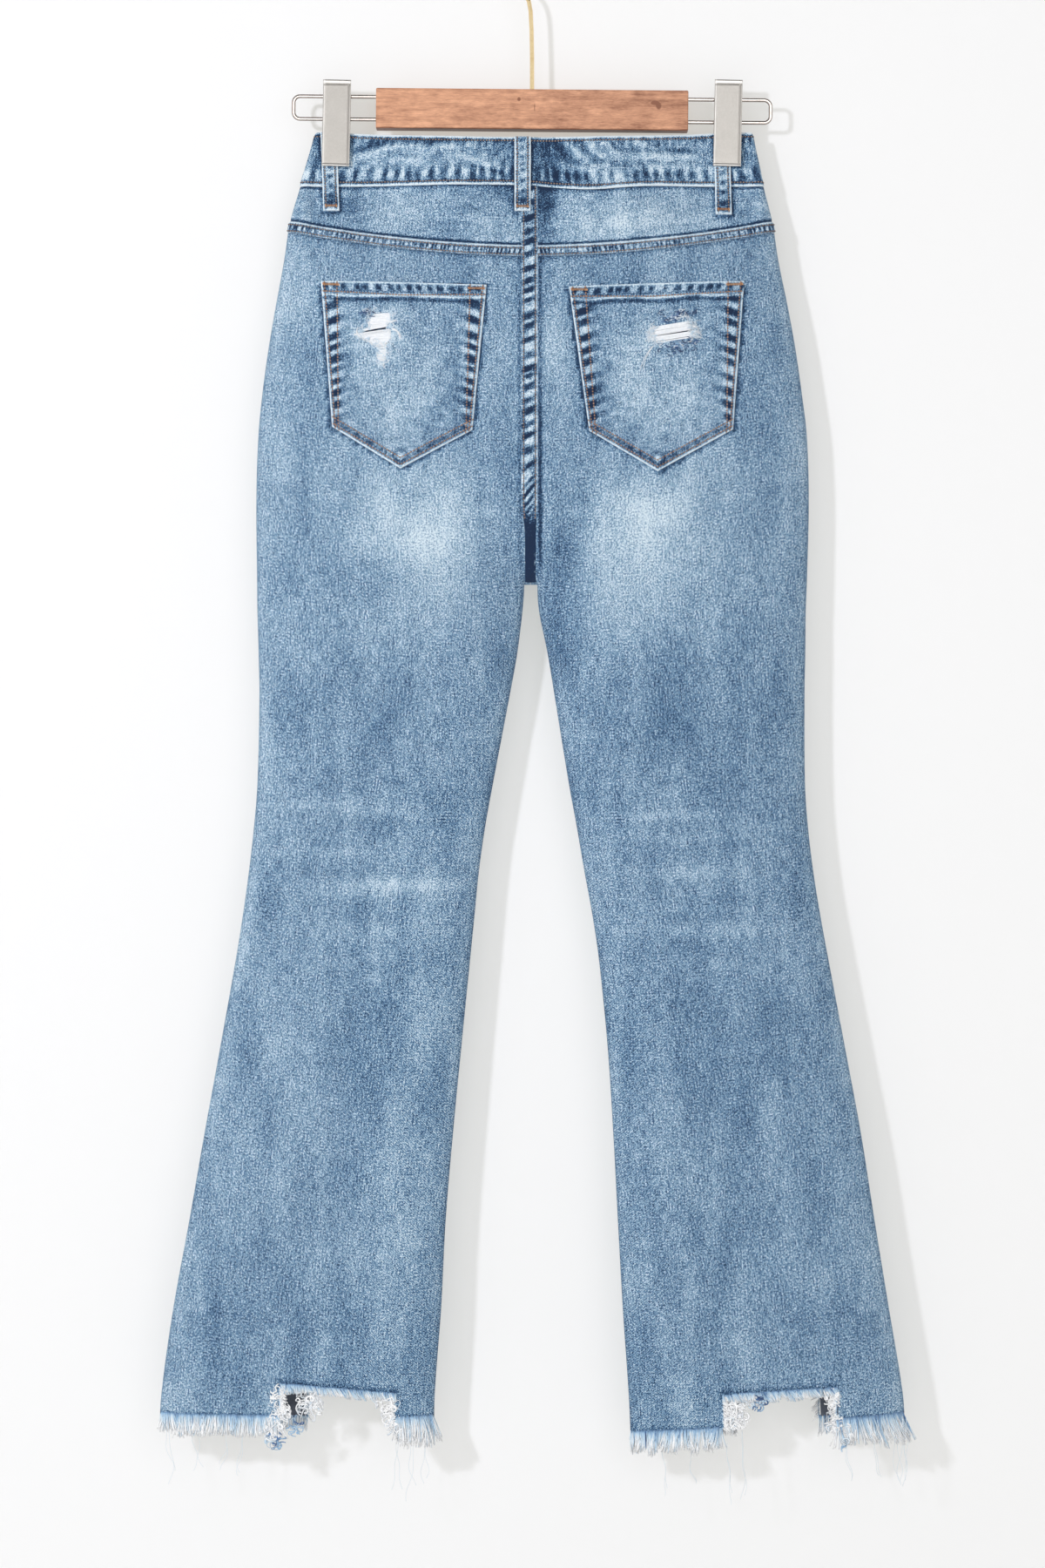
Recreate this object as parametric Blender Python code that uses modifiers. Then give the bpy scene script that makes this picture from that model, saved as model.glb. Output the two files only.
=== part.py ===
"""Flared jeans with raw stepped hems, hanging by the waistband from a wooden clip hanger.

The jeans are seen from behind: -Y is the seat side, +X is the wearer's right and +Z is up.
The origin is the point inside the top of the hook, where a rail carries the hanger.
Sizes are in millimetres until a mesh is made, where MM turns them into metres.
A "drop" is a distance down from the waistband's top edge. A "turn" runs round half a section:
0 is the inseam (or the centre seam's edge), 1 is the outseam, and -1 is the centre seam itself.
"""
import math
import random
from collections import namedtuple

import bmesh
import bpy
from mathutils import Matrix, Vector

MM = 0.001

# ---- driving dimensions of the cloth -------------------------------------------------------
GAP = 0.3                   # between pieces that are sewn together
HALF_GAP = GAP / 2
DENIM = 1.2                 # one layer of denim
BAND_WALL = 2.4             # waistband, turned double
BAND_PROUD = 0.7            # how far the waistband stands out from the cloth below it
FELL_PROUD = 0.6            # how far a felled seam stands out
POCKET_LIFT = DENIM + GAP   # outer face of a layer that lies on a panel
WAIST_Z = -156.0            # waistband's top edge at the clips
SEAM_X = -1.0               # centre seam, front and back
FELL_HALF = 5.25            # half the felled seam down the centre back
CROTCH = 363.0              # drop of the crotch point
SEAT_BEND = 250.0           # drop where the centre seam starts to curve in to the crotch
WAIST_SAG = 5.0             # how far the waistband dips between the clips
CLIP_X = 157.0              # centre of each clip
CLIP_GRIP = 2.1             # half-depth of the cloth where a clip presses it flat
PINCH_INWARD = (62.0, 143.0)    # where a clip's pressing begins and is full, from the middle
PINCH_OUTWARD = (173.0, 187.0)  # where it ends beyond the clip
PINCH_DOWN = (30.0, 112.0)      # where it ends below the clip
BAND_HEIGHT = 43.6          # drop of the waistband's foot
BAND_DIP = 4.0              # how far that foot dips beside the centre seam
BAND_DIP_X = 44.0
BAND_DIP_HALF = 34.0
YOKE_CENTRE = 101.4         # drop of the yoke's foot at the centre seam
YOKE_RISE = 21.0            # how far it rises towards the outseam
YOKE_HALF = 195.0
YOKE_CURVE = 1.9
YOKE_BAND = 8.0             # height of the felled seam at the yoke's foot
YOKE_STEP = 1.5             # slope up to that seam
FELL_FADE = (320.0, 352.0)  # drops where the centre back fell flattens out

Section = namedtuple("Section", "drop left_out left_in right_in right_out back front edge")
L_IN = SEAM_X - FELL_HALF
R_IN = SEAM_X + FELL_HALF
SECTIONS = [
    # drop, the four outline edges, depth behind and in front of the seams, edge radius
    Section(0, -173.5, L_IN, R_IN, 176.5, 10.0, 9.0, 3.0),
    Section(43, -186.2, L_IN, R_IN, 186.0, 13.0, 11.0, 3.6),
    Section(72, -194.6, L_IN, R_IN, 193.2, 15.5, 12.5, 4.2),
    Section(103, -199.4, L_IN, R_IN, 198.0, 18.0, 14.0, 5.0),
    Section(138, -205.8, L_IN, R_IN, 205.2, 20.0, 15.5, 5.5),
    Section(173, -211.8, L_IN, R_IN, 211.6, 22.0, 16.5, 5.8),
    Section(208, -216.6, L_IN, R_IN, 216.6, 23.5, 17.0, 6.0),
    Section(243, -220.0, L_IN, R_IN, 220.8, 24.5, 17.5, 6.0),
    Section(295, -221.6, L_IN, R_IN, 222.4, 25.0, 18.0, 6.0),
    Section(CROTCH, -221.0, L_IN, R_IN, 220.8, 23.5, 17.0, 5.6),
    Section(383, -220.8, -7.6, 5.4, 220.0, 22.6, 16.6, 5.4),
    Section(418, -219.8, -11.9, 12.4, 219.6, 21.4, 16.0, 5.2),
    Section(453, -219.2, -18.2, 18.2, 219.0, 20.2, 15.5, 5.0),
    Section(523, -220.8, -31.5, 29.6, 219.4, 18.0, 14.6, 4.8),
    Section(558, -223.6, -37.8, 36.0, 221.8, 17.0, 14.2, 4.8),
    Section(593, -227.6, -42.7, 42.0, 226.0, 16.5, 14.0, 4.8),
    Section(628, -232.4, -46.2, 48.4, 231.6, 16.5, 14.0, 4.8),
    Section(663, -238.0, -49.7, 53.6, 238.0, 16.5, 14.0, 4.8),
    Section(733, -250.4, -56.7, 60.6, 251.2, 16.5, 14.0, 4.6),
    Section(803, -263.2, -63.5, 65.2, 264.2, 16.5, 14.0, 4.6),
    Section(873, -275.4, -69.4, 68.9, 275.2, 16.5, 14.0, 4.6),
    Section(943, -288.2, -73.0, 72.8, 286.6, 16.0, 14.0, 4.6),
    Section(1013, -298.0, -78.2, 77.6, 298.0, 15.5, 14.0, 4.6),
    Section(1048, -299.6, -78.8, 79.2, 300.0, 15.5, 14.0, 4.6),
]

Fold = namedtuple("Fold", "face x drop half_width half_length lean depth")
FOLDS = [
    # face -1 is the back; lean is the sideways run per unit of drop; a negative depth is a trough
    Fold(-1, 14.0, 34.0, 9.0, 34.0, 0.12, -2.6),
    Fold(-1, 46.0, 30.0, 16.0, 40.0, -0.35, 1.6),
    Fold(-1, -52.0, 60.0, 20.0, 46.0, 0.30, 1.4),
    Fold(1, 60.0, 66.0, 14.0, 44.0, -0.30, -1.6),
    Fold(1, -74.0, 62.0, 15.0, 42.0, 0.34, -1.8),
    Fold(-1, -132.0, 560.0, 60.0, 26.0, 0.0, -1.4),
    Fold(-1, 134.0, 596.0, 60.0, 28.0, 0.0, -1.4),
    Fold(1, -130.0, 548.0, 58.0, 26.0, 0.0, 1.2),
    Fold(1, 136.0, 582.0, 60.0, 28.0, 0.0, 1.2),
    Fold(-1, -196.0, 850.0, 26.0, 150.0, -0.18, 1.4),
    Fold(-1, 204.0, 830.0, 28.0, 160.0, 0.18, 1.4),
]

Hem = namedtuple("Hem", "outer inner notch_in notch_out notch_top_in notch_top_out")
HEMS = {
    # drops of the hem at the outseam and the inseam; sides of the notch as a share of the
    # hem's width from the inseam; drops of the notch's top at its two sides
    (-1, -1): Hem(1027.0, 1029.5, 0.141, 0.567, 1010.8, 1002.4),
    (1, -1): Hem(1027.0, 1042.5, 0.337, 0.755, 1011.5, 1005.9),
    (-1, 1): Hem(1031.0, 1034.0, 0.105, 0.470, 1012.5, 1006.4),
    (1, 1): Hem(1030.0, 1040.0, 0.400, 0.700, 1014.5, 1009.5),
}

Pocket = namedtuple("Pocket", "top_in top_out low_in point low_out")
BACK_POCKETS = {
    # corners as (x, drop)
    -1: Pocket((-36.4, 124.6), (-168.7, 121.1), (-47.6, 240.8), (-105.0, 271.6), (-159.6, 238.0)),
    1: Pocket((29.4, 126.0), (169.4, 121.1), (45.5, 241.5), (100.1, 273.7), (160.3, 240.1)),
}
POCKET_HEM = 10.0           # turned top edge of a back pocket

Loop = namedtuple("Loop", "face top_x end_x end_drop bow clear")
LOOPS = {
    # bow is how far the middle stands off; clear is the height of a seam under the sewn end
    "belt_loop_back_centre": Loop(-1, -7.7, -7.7, 65.0, 0.8, FELL_PROUD),
    "belt_loop_back_left": Loop(-1, -163.4, -161.0, 63.5, 0.0, 0.0),
    "belt_loop_back_right": Loop(-1, 152.4, 153.6, 66.5, 0.0, 0.0),
    "belt_loop_front_left": Loop(1, -96.0, -97.0, 64.0, 0.8, 0.0),
    "belt_loop_front_right": Loop(1, 96.0, 97.0, 64.0, 0.8, 0.0),
}
LOOP_HALF = 6.4
LOOP_WALL = 1.8
LOOP_ROWS = [-1.0, 6.0, 16.0, 26.0, 36.0, 46.0, 53.0, 59.0]
LOOP_STEP = (47.0, 60.0)    # drops where a loop comes down off the waistband
LOOP_EASE = 0.25            # room under a loop on the waistband
LOOP_SEWN_EASE = 0.15       # room under its sewn end

FLY_UNDERLAP = -32.0        # x where the waistband's under end stops
FLY_OVERLAP_TURN = 0.17     # turn where the waistband's upper end stops
FLY_LENGTH = 194.0          # drop of the fly's lower end
ZIP_TOP = 49.0
SLIDER_FOOT = 61.0
ZIP_FOOT = 186.0
ZIP_WALL = 1.4
SCOOP_WIDTH = 80.0          # front pocket mouth, along the waistband
SCOOP_DEPTH = 84.0          # front pocket mouth, down the outseam
FACING_GAP = 0.6            # front panel to the facing behind it, which curves less evenly
FACING_DEPTH = 14.0         # how far the facing carries on below the pocket's mouth

STRIP = 2.5                 # narrow strip that the fringe is rooted in
STRAND_SPACING = 5.6
CORNER_CLEAR = 11.0         # the notch's top has no strands this near its corners
SEAM_CLEAR = 0.03           # share of the hem's width at each seam that has no strands
HEM_STRANDS = (17.0, 24.0)  # shortest and longest
NOTCH_STRANDS = (6.0, 9.5)
SIDE_STRANDS = (8.0, 11.0)
INNER_FLARE = 5.0           # extra length beside the left inseam
INNER_SHARE = 0.2
LONG_CHANCE = 0.05
LONG_TIMES = 2.1

# ---- driving dimensions of the hanger ------------------------------------------------------
BAR_SIZE = (250.6, 14.0, 32.2)
BAR_CENTRE = (0.0, 0.0, -137.9)
BAR_TILT = math.radians(0.5)
WIRE_RADIUS = 1.55
WIRE_UP = 10.0              # upper wire, above the bar's centre
WIRE_PITCH = 18.2           # upper wire to lower wire
WIRE_END = 191.7            # centre line of the rounded end
WIRE_CORNER = 8.0
SOCKET_DEPTH = 10.0
SOCKET_CLEAR = 0.3
HOOK_RADIUS = 1.75
HOOK_INSIDE = 19.0
HOOK_STEM = [(0.0, -95.0), (-0.4, -74.0), (-1.2, -58.0), (-2.6, -50.0), (-6.2, -43.4), (-11.4, -37.2)]
HOOK_SWEEP = (215.0, -32.0)  # first and last angle of its round top
CLIP_WIDTH = 21.5
CLIP_TOP = -114.8
CLIP_FOOT = -183.2
CLIP_SHEET = 1.6
CLIP_FRONT = 5.5            # inner face of the plate on the seat side, clear of a belt loop
CLIP_REAR = 3.1             # inner face of the rear jaw
CLIP_LEAN = math.radians(1.2)
BUTTON_RADIUS = 8.5

PARTS = "flared_jeans_on_clip_hanger"


# ---- scene set-up --------------------------------------------------------------------------
def clear_scene():
    for old in list(bpy.data.objects):
        bpy.data.objects.remove(old, do_unlink=True)


def make_collection(name):
    collection = bpy.data.collections.new(name)
    bpy.context.scene.collection.children.link(collection)
    return collection


def make_material(name, colour, roughness, metallic=0.0):
    material = bpy.data.materials.new(name)
    material.use_nodes = True
    shader = material.node_tree.nodes["Principled BSDF"]
    shader.inputs["Base Color"].default_value = (*colour, 1.0)
    shader.inputs["Roughness"].default_value = roughness
    shader.inputs["Metallic"].default_value = metallic
    material.diffuse_color = (*colour, 1.0)
    return material


def add_object(name, data, material, collection):
    obj = bpy.data.objects.new(name, data)
    collection.objects.link(obj)
    data.materials.append(material)
    return obj


# ---- the cloth's surface -------------------------------------------------------------------
def measured(column, drop):
    """One column of SECTIONS at any drop, as a smooth curve through its rows."""
    rows = SECTIONS
    last = len(rows) - 1
    i = 0
    while i < last - 1 and rows[i + 1].drop <= drop:
        i += 1
    value = [getattr(row, column) for row in rows]

    def slope(k):
        low, high = max(k - 1, 0), min(k + 1, last)
        return (value[high] - value[low]) / (rows[high].drop - rows[low].drop)

    span = rows[i + 1].drop - rows[i].drop
    t = min(max((drop - rows[i].drop) / span, 0.0), 1.0)
    t2, t3 = t * t, t * t * t
    return ((2 * t3 - 3 * t2 + 1) * value[i] + (t3 - 2 * t2 + t) * span * slope(i)
            + (3 * t2 - 2 * t3) * value[i + 1] + (t3 - t2) * span * slope(i + 1))


def mix(a, b, t):
    return a + (b - a) * t


def smooth(edge0, edge1, value):
    t = min(max((value - edge0) / (edge1 - edge0), 0.0), 1.0)
    return t * t * (3 - 2 * t)


def edges_at(side, drop):
    """Inner and outer edge of one side's half section."""
    name = "left" if side < 0 else "right"
    if drop <= CROTCH:
        inner = SEAM_X + side * FELL_HALF
    else:
        inner = measured(name + "_in", drop)
    return inner, measured(name + "_out", drop)


def seat_depth(drop):
    """Share of the full depth that the centre seam has: all at the hips, none at the crotch."""
    t = min(max((drop - SEAT_BEND) / (CROTCH - SEAT_BEND), 0.0), 1.0)
    return math.sqrt(1.0 - t * t)


def pinch(x, drop):
    """How far a clip presses the two layers together."""
    inward = smooth(*PINCH_INWARD, abs(x))
    outward = 1.0 - smooth(*PINCH_OUTWARD, abs(x))
    downward = 1.0 - smooth(*PINCH_DOWN, drop)
    return inward * outward * downward


def folded(face, x, drop):
    """Height of the largest folds."""
    height = 0.0
    for fold in FOLDS:
        if fold.face == face:
            down = drop - fold.drop
            aside = x - fold.x - fold.lean * down
            away = (aside / fold.half_width) ** 2 + (down / fold.half_length) ** 2
            height += fold.depth * math.exp(-away)
    return height


def round_power(radius, half_width, depth):
    """Power of the section's curve that gives its edge this radius."""
    return 2.0 * radius * half_width / depth ** 2


def surface(side, face, turn, drop, least=HALF_GAP):
    """A point of the cloth's outer face."""
    inner, outer = edges_at(side, drop)
    depth = measured("back" if face < 0 else "front", drop)
    radius = measured("edge", drop)
    theta = math.pi * min(max(turn, 0.0), 1.0)
    x = inner + (outer - inner) * (1.0 - math.cos(theta)) / 2.0
    if turn < 0.0:
        x = inner + (SEAM_X + side * HALF_GAP - inner) * -turn
    leg_half = abs(outer - inner) / 2.0
    body_half = abs(outer - SEAM_X)
    seat = seat_depth(drop)
    leg = 1.0 - abs(math.cos(theta)) ** round_power(radius, leg_half, depth)
    out = min(abs(x - SEAM_X) / body_half, 1.0)
    body = 1.0 - out ** round_power(radius, body_half, depth)
    share = math.sqrt(max(seat ** 2 * body + (1.0 - seat ** 2) * leg, 0.0))
    pressed = CLIP_GRIP * math.sqrt(max(1.0 - out ** round_power(CLIP_GRIP, body_half, CLIP_GRIP), 0.0))
    grip = pinch(x, drop)
    y = depth * share * (1.0 - grip) + pressed * grip + folded(face, x, drop) * min(share * 2.0, 1.0)
    return Vector((x, face * max(y, least), WAIST_Z - drop))


def outward_frame(side, face, turn, drop, sewn=True):
    """A point of the outer face and its outward normal, kept in the seam's plane at a seam."""
    step, fall = 0.004, 0.4
    point = surface(side, face, turn, drop, HALF_GAP if sewn else 0.0)
    across = (surface(side, face, min(turn + step, 1.0), drop, 0.0)
              - surface(side, face, max(turn - step, -1.0), drop, 0.0))
    down = (surface(side, face, turn, drop + fall, 0.0) - surface(side, face, turn, drop - fall, 0.0))
    normal = across.cross(down) * (side * face)
    crotch_row = abs(drop - CROTCH) < 0.01 and turn <= 0.0
    if turn >= 1.0 or crotch_row or (turn <= 0.0 and drop > CROTCH):
        normal.y = 0.0
    if turn <= -1.0 and sewn:
        normal.x = 0.0
    if crotch_row and turn <= -1.0:
        normal = Vector((0.0, 0.0, -1.0))
    return point, normal.normalized()


def turn_at(side, x, drop):
    """The turn of a place given by its x."""
    inner, outer = edges_at(side, drop)
    share = (x - inner) / (outer - inner)
    if share < 0.0:
        return max(share * abs(outer - inner) / FELL_HALF, -1.0)
    return math.acos(1.0 - 2.0 * min(share, 1.0)) / math.pi


def frame_at_x(face, x, drop):
    """Frame of a place given by its x, also across the centre seam."""
    side = -1 if x < SEAM_X else 1
    return outward_frame(side, face, turn_at(side, x, drop), drop, sewn=False)


# ---- edge lines of the pieces --------------------------------------------------------------
def waist_top(x):
    return WAIST_SAG * max(1.0 - (x / CLIP_X) ** 2, 0.0)


def waist_foot(x):
    return BAND_HEIGHT + BAND_DIP * math.exp(-((x - BAND_DIP_X) / BAND_DIP_HALF) ** 2)


def yoke_foot(x):
    return YOKE_CENTRE - YOKE_RISE * (abs(x) / YOKE_HALF) ** YOKE_CURVE


def scoop_line(side, x):
    """Upper edge of a front panel: the waistband, then the pocket's mouth down to the outseam."""
    outer = measured("left_out" if side < 0 else "right_out", 100.0)
    reach = min(max((abs(outer) - abs(x)) / SCOOP_WIDTH, 0.0), 1.0)
    return waist_foot(x) + SCOOP_DEPTH * math.sqrt(1.0 - reach ** 2)


def hem_line(side, face, share):
    hem = HEMS[side, face]
    return hem.inner + (hem.outer - hem.inner) * share


def notch_line(side, face, share):
    hem = HEMS[side, face]
    along = (share - hem.notch_in) / (hem.notch_out - hem.notch_in)
    return hem.notch_top_in + (hem.notch_top_out - hem.notch_top_in) * min(max(along, 0.0), 1.0)


def share_of(turn):
    return (1.0 - math.cos(math.pi * turn)) / 2.0


def turn_of(share):
    return math.acos(1.0 - 2.0 * share) / math.pi


# ---- building walls ------------------------------------------------------------------------
def cell_edges(i, j):
    return [((i, j), (i, j + 1)), ((i, j + 1), (i + 1, j + 1)),
            ((i + 1, j), (i + 1, j + 1)), ((i, j), (i + 1, j))]


def wall_mesh(frames, outer_lift, inner_lift, keep=None):
    """Closed wall through a grid of frames, and its rim faces by grid edge.

    The lifts are numbers, or functions of a grid place, and keep says which cells have cloth.
    """
    def lift_of(lift, i, j):
        return lift(i, j) if callable(lift) else lift

    cells = [(i, j) for i in range(len(frames) - 1) for j in range(len(frames[0]) - 1)
             if keep is None or keep(i, j)]
    shell = bmesh.new()
    outer, inner, uses = {}, {}, {}
    for i, j in cells:
        for edge in cell_edges(i, j):
            uses[edge] = uses.get(edge, 0) + 1
        for place in ((i, j), (i, j + 1), (i + 1, j + 1), (i + 1, j)):
            if place not in outer:
                point, normal = frames[place[0]][place[1]]
                outer[place] = shell.verts.new((point + normal * lift_of(outer_lift, *place)) * MM)
                inner[place] = shell.verts.new((point + normal * lift_of(inner_lift, *place)) * MM)
    for i, j in cells:
        corners = ((i, j), (i, j + 1), (i + 1, j + 1), (i + 1, j))
        shell.faces.new([outer[c] for c in corners])
        shell.faces.new([inner[c] for c in reversed(corners)])
    rims = {}
    for edge, count in uses.items():
        if count == 1:
            a, b = edge
            rims[edge] = shell.faces.new((outer[a], outer[b], inner[b], inner[a]))
    bmesh.ops.recalc_face_normals(shell, faces=shell.faces)
    return shell, rims


def finish_mesh(name, shell, material, collection):
    for face in shell.faces:
        face.smooth = True
    mesh = bpy.data.meshes.new(name)
    shell.to_mesh(mesh)
    shell.free()
    mesh.set_sharp_from_angle(angle=math.radians(40.0))
    return add_object(name, mesh, material, collection)


def make_wall(name, frames, outer_lift, inner_lift, material, collection, keep=None):
    shell, _ = wall_mesh(frames, outer_lift, inner_lift, keep)
    return finish_mesh(name, shell, material, collection)


# ---- leg panels and yokes ------------------------------------------------------------------
PANEL_COLUMNS = 14
LEG_ROWS = [CROTCH, 384, 420, 465, 515, 560, 605, 660, 730, 800, 870, 940, 985]
BACK_ROWS = [112, 128, 150, 178, 208, 240, 268, 292, 314, 332, 346, 356] + LEG_ROWS
FRONT_ROWS = [135, 165, 200, 240, 275, 305, 330, 346, 356] + LEG_ROWS


def panel_turns(side, face):
    """Turns of a panel's columns, with two moved on to the sides of the hem's notch."""
    turns = [k / PANEL_COLUMNS for k in range(PANEL_COLUMNS + 1)]
    hem = HEMS[side, face]
    notch = [turn_of(hem.notch_in), turn_of(hem.notch_out)]
    for wanted in notch:
        nearest = min(range(1, PANEL_COLUMNS), key=lambda k: abs(turns[k] - wanted))
        turns[nearest] = wanted
    return [-1.0] + turns


def line_frame(side, face, turn, line):
    """Frame of the place where a column crosses an edge line given by x."""
    drop = line(0.0)
    for _ in range(6):
        drop = line(surface(side, face, turn, drop).x)
    return outward_frame(side, face, turn, drop)


def drop_of(frame):
    return WAIST_Z - frame[0].z


def leg_panel(name, side, face, top_line, upper_shares, rows, material, collection):
    """A leg panel from its upper edge line to the stepped hem."""
    turns = panel_turns(side, face)
    top = [line_frame(side, face, turn, top_line) for turn in turns]
    frames = [top]
    for share in upper_shares:
        frames.append([outward_frame(side, face, turn, drop_of(edge) + (rows[0] - drop_of(edge)) * share)
                       for turn, edge in zip(turns, top)])
    first_level = len(frames)
    for drop in rows:
        frames.append([outward_frame(side, face, turn, drop) for turn in turns])
    notch_row = len(frames)
    for lowered in (0.0, 0.5, 1.0):
        row = []
        for turn in (max(turn, 0.0) for turn in turns):
            share = share_of(turn)
            drop = mix(notch_line(side, face, share), hem_line(side, face, share), lowered)
            row.append(outward_frame(side, face, turn, drop))
        frames.append(row)
    crotch_row = first_level + rows.index(CROTCH)
    hem = HEMS[side, face]
    notch_first = turns.index(turn_of(hem.notch_in))
    notch_last = turns.index(turn_of(hem.notch_out))

    def keep(i, j):
        if j == 0:
            return i < crotch_row
        return not (i >= notch_row and notch_first <= j < notch_last)

    def proud(i, j):
        """The felled seam stands out down the centre back and fades at the crotch."""
        if face > 0 or j > 1 or i >= crotch_row:
            return 0.0
        return FELL_PROUD * (1.0 - smooth(*FELL_FADE, drop_of(frames[i][j])))

    return make_wall(name, frames, proud, -DENIM, material, collection, keep)


def yoke(name, side, material, collection):
    """Back yoke between the waistband and the top of the leg panel."""
    turns = panel_turns(side, -1)
    top = [line_frame(side, -1, turn, lambda x: waist_foot(x) + HALF_GAP) for turn in turns]
    foot = [line_frame(side, -1, turn, lambda x: yoke_foot(x) - HALF_GAP) for turn in turns]
    frames = [top]
    flat_foot = YOKE_BAND + YOKE_STEP
    for share, back_off in ((0.5, flat_foot), (1.0, flat_foot), (1.0, YOKE_BAND)):
        frames.append([outward_frame(side, -1, turn, mix(drop_of(a), drop_of(b) - back_off, share))
                       for turn, a, b in zip(turns, top, foot)])
    frames.append(foot)

    def proud(i, j):
        return FELL_PROUD if i >= 3 or j <= 1 else 0.0

    return make_wall(name, frames, proud, -DENIM, material, collection)


def front_facing(name, side, material, collection):
    """Hip facing that shows inside a front pocket's mouth and carries on below it."""
    turns = [turn for turn in panel_turns(side, 1) if turn > 0.5]
    top = [line_frame(side, 1, turn, lambda x: waist_foot(x) + HALF_GAP) for turn in turns]
    foot = [line_frame(side, 1, turn, lambda x: scoop_line(side, x) + FACING_DEPTH) for turn in turns]
    frames = []
    for share in (0.0, 0.25, 0.5, 0.75, 1.0):
        frames.append([outward_frame(side, 1, turn, mix(drop_of(a), drop_of(b), share))
                       for turn, a, b in zip(turns, top, foot)])
    behind = -DENIM - FACING_GAP
    return make_wall(name, frames, behind, behind - DENIM, material, collection)


# ---- waistband, loops, pockets and fly -----------------------------------------------------
def waistband(material, collection):
    """One band from its under end at the front, round the back, to its upper end at the front."""
    half = [0.08, 0.16, 0.26, 0.36, 0.46, 0.56, 0.66, 0.74, 0.81, 0.87, 0.915, 0.95, 0.975, 1.0]
    under = turn_at(-1, FLY_UNDERLAP, 20.0)
    places = [(-1, 1, under), (-1, 1, 0.16), (-1, 1, 0.08), (1, 1, -1.0)]
    places += [(1, 1, turn) for turn in half]
    places += [(1, -1, turn) for turn in reversed(half[:-1])]
    places += [(-1, -1, -1.0)]
    places += [(-1, -1, turn) for turn in half]
    places += [(-1, 1, turn) for turn in reversed(half[3:-1])]
    overlap_start = len(places) - 1
    places += [(-1, 1, 0.30), (-1, 1, under), (-1, 1, 0.16), (-1, 1, 0.08)]
    places += [(1, 1, -1.0), (1, 1, 0.08), (1, 1, FLY_OVERLAP_TURN)]
    heights = [0.0, 0.1, 0.5, 0.9, 1.0]
    frames = []
    for height in heights:
        row = []
        for side, face, turn in places:
            drop = 20.0
            for _ in range(4):
                x = surface(side, face, turn, drop, 0.0).x
                top = waist_top(x) * (1.0 if face < 0 else 2.0)
                drop = top + (waist_foot(x) - HALF_GAP - top) * height
            row.append(outward_frame(side, face, turn, drop, sewn=False))
        frames.append(row)

    def over(j):
        return BAND_WALL + GAP if j > overlap_start else 0.0

    return make_wall("waistband", frames, lambda i, j: BAND_PROUD + over(j),
                     lambda i, j: BAND_PROUD - BAND_WALL + over(j), material, collection)


def belt_loop(name, loop, material, collection):
    """A folded strip over the waistband, sewn down on the cloth below it."""
    frames, lifts = [], []
    for drop in LOOP_ROWS + [loop.end_drop]:
        on_cloth = max(drop, 0.0)
        x = mix(loop.top_x, loop.end_x, on_cloth / loop.end_drop)
        lowered = on_cloth + waist_top(x) * max(1.0 - on_cloth / 40.0, 0.0)
        frames.append([frame_at_x(loop.face, x + aside, lowered) for aside in (-LOOP_HALF, 0.0, LOOP_HALF)])
        on_band = 1.0 - smooth(*LOOP_STEP, drop)
        arch = loop.bow * math.sin(math.pi * min(on_cloth / 50.0, 1.0))
        lifts.append(GAP + arch + mix(LOOP_SEWN_EASE + loop.clear, LOOP_EASE + BAND_PROUD, on_band))

    def outer(i, j):
        return lifts[i] + LOOP_WALL

    return make_wall(name, frames, outer, lambda i, j: lifts[i], material, collection)


def back_pocket(name, side, material, collection):
    """Pointed patch pocket on the seat, with its top edge turned in."""
    pocket = BACK_POCKETS[side]
    across = [0.0, 0.18, 0.36, 0.5, 0.64, 0.82, 1.0]
    point_share = (pocket.point[0] - pocket.low_in[0]) / (pocket.low_out[0] - pocket.low_in[0])
    across[3] = point_share
    hem_share = POCKET_HEM / (pocket.low_in[1] - pocket.top_in[1])
    down = [0.0, hem_share, hem_share + 0.02, 0.3, 0.5, 0.75, 1.0]
    frames = []
    for t in down:
        row = []
        for s in across:
            if s <= point_share:
                foot = mix(pocket.low_in[1], pocket.point[1], s / point_share)
            else:
                foot = mix(pocket.point[1], pocket.low_out[1], (s - point_share) / (1.0 - point_share))
            head = mix(pocket.top_in[1], pocket.top_out[1], s)
            near = mix(pocket.top_in[0], pocket.low_in[0], t)
            far = mix(pocket.top_out[0], pocket.low_out[0], t)
            row.append(frame_at_x(-1, mix(near, far, s), mix(head, foot, t)))
        frames.append(row)

    def proud(i, j):
        return POCKET_LIFT + (FELL_PROUD if i <= 1 else 0.0)

    return make_wall(name, frames, proud, GAP, material, collection)


def inside_strip(name, columns, drops, outer_lift, wall, material, collection):
    """A strip that lies behind the front panels."""
    frames = [[frame_at_x(1, x, drop) for x in columns] for drop in drops]
    return make_wall(name, frames, outer_lift, outer_lift - wall, material, collection)


def button(material, collection):
    """Domed shank button on the waistband's upper end."""
    profile = [(0.0, 4.2), (3.5, 4.0), (6.2, 3.3), (BUTTON_RADIUS - 0.6, 2.6), (BUTTON_RADIUS, 1.6),
               (BUTTON_RADIUS - 0.5, 0.7), (4.0, 0.0), (0.0, 0.0)]
    mesh = bpy.data.meshes.new("button")
    points = [(r * MM, 0.0, z * MM) for r, z in profile]
    mesh.from_pydata(points, [(k, k + 1) for k in range(len(points) - 1)], [])
    obj = add_object("button", mesh, material, collection)
    turned = obj.modifiers.new("turned", "SCREW")
    turned.steps = turned.render_steps = 20
    turned.use_merge_vertices = True
    turned.merge_threshold = 0.00001
    turned.use_smooth_shade = True
    base, normal = frame_at_x(1, -4.0, 25.0)
    seat = base + normal * (BAND_PROUD + BAND_WALL + GAP + GAP + 0.1)
    obj.matrix_world = Matrix.Translation(seat * MM) @ normal.to_track_quat("Z", "Y").to_matrix().to_4x4()
    return obj


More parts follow.
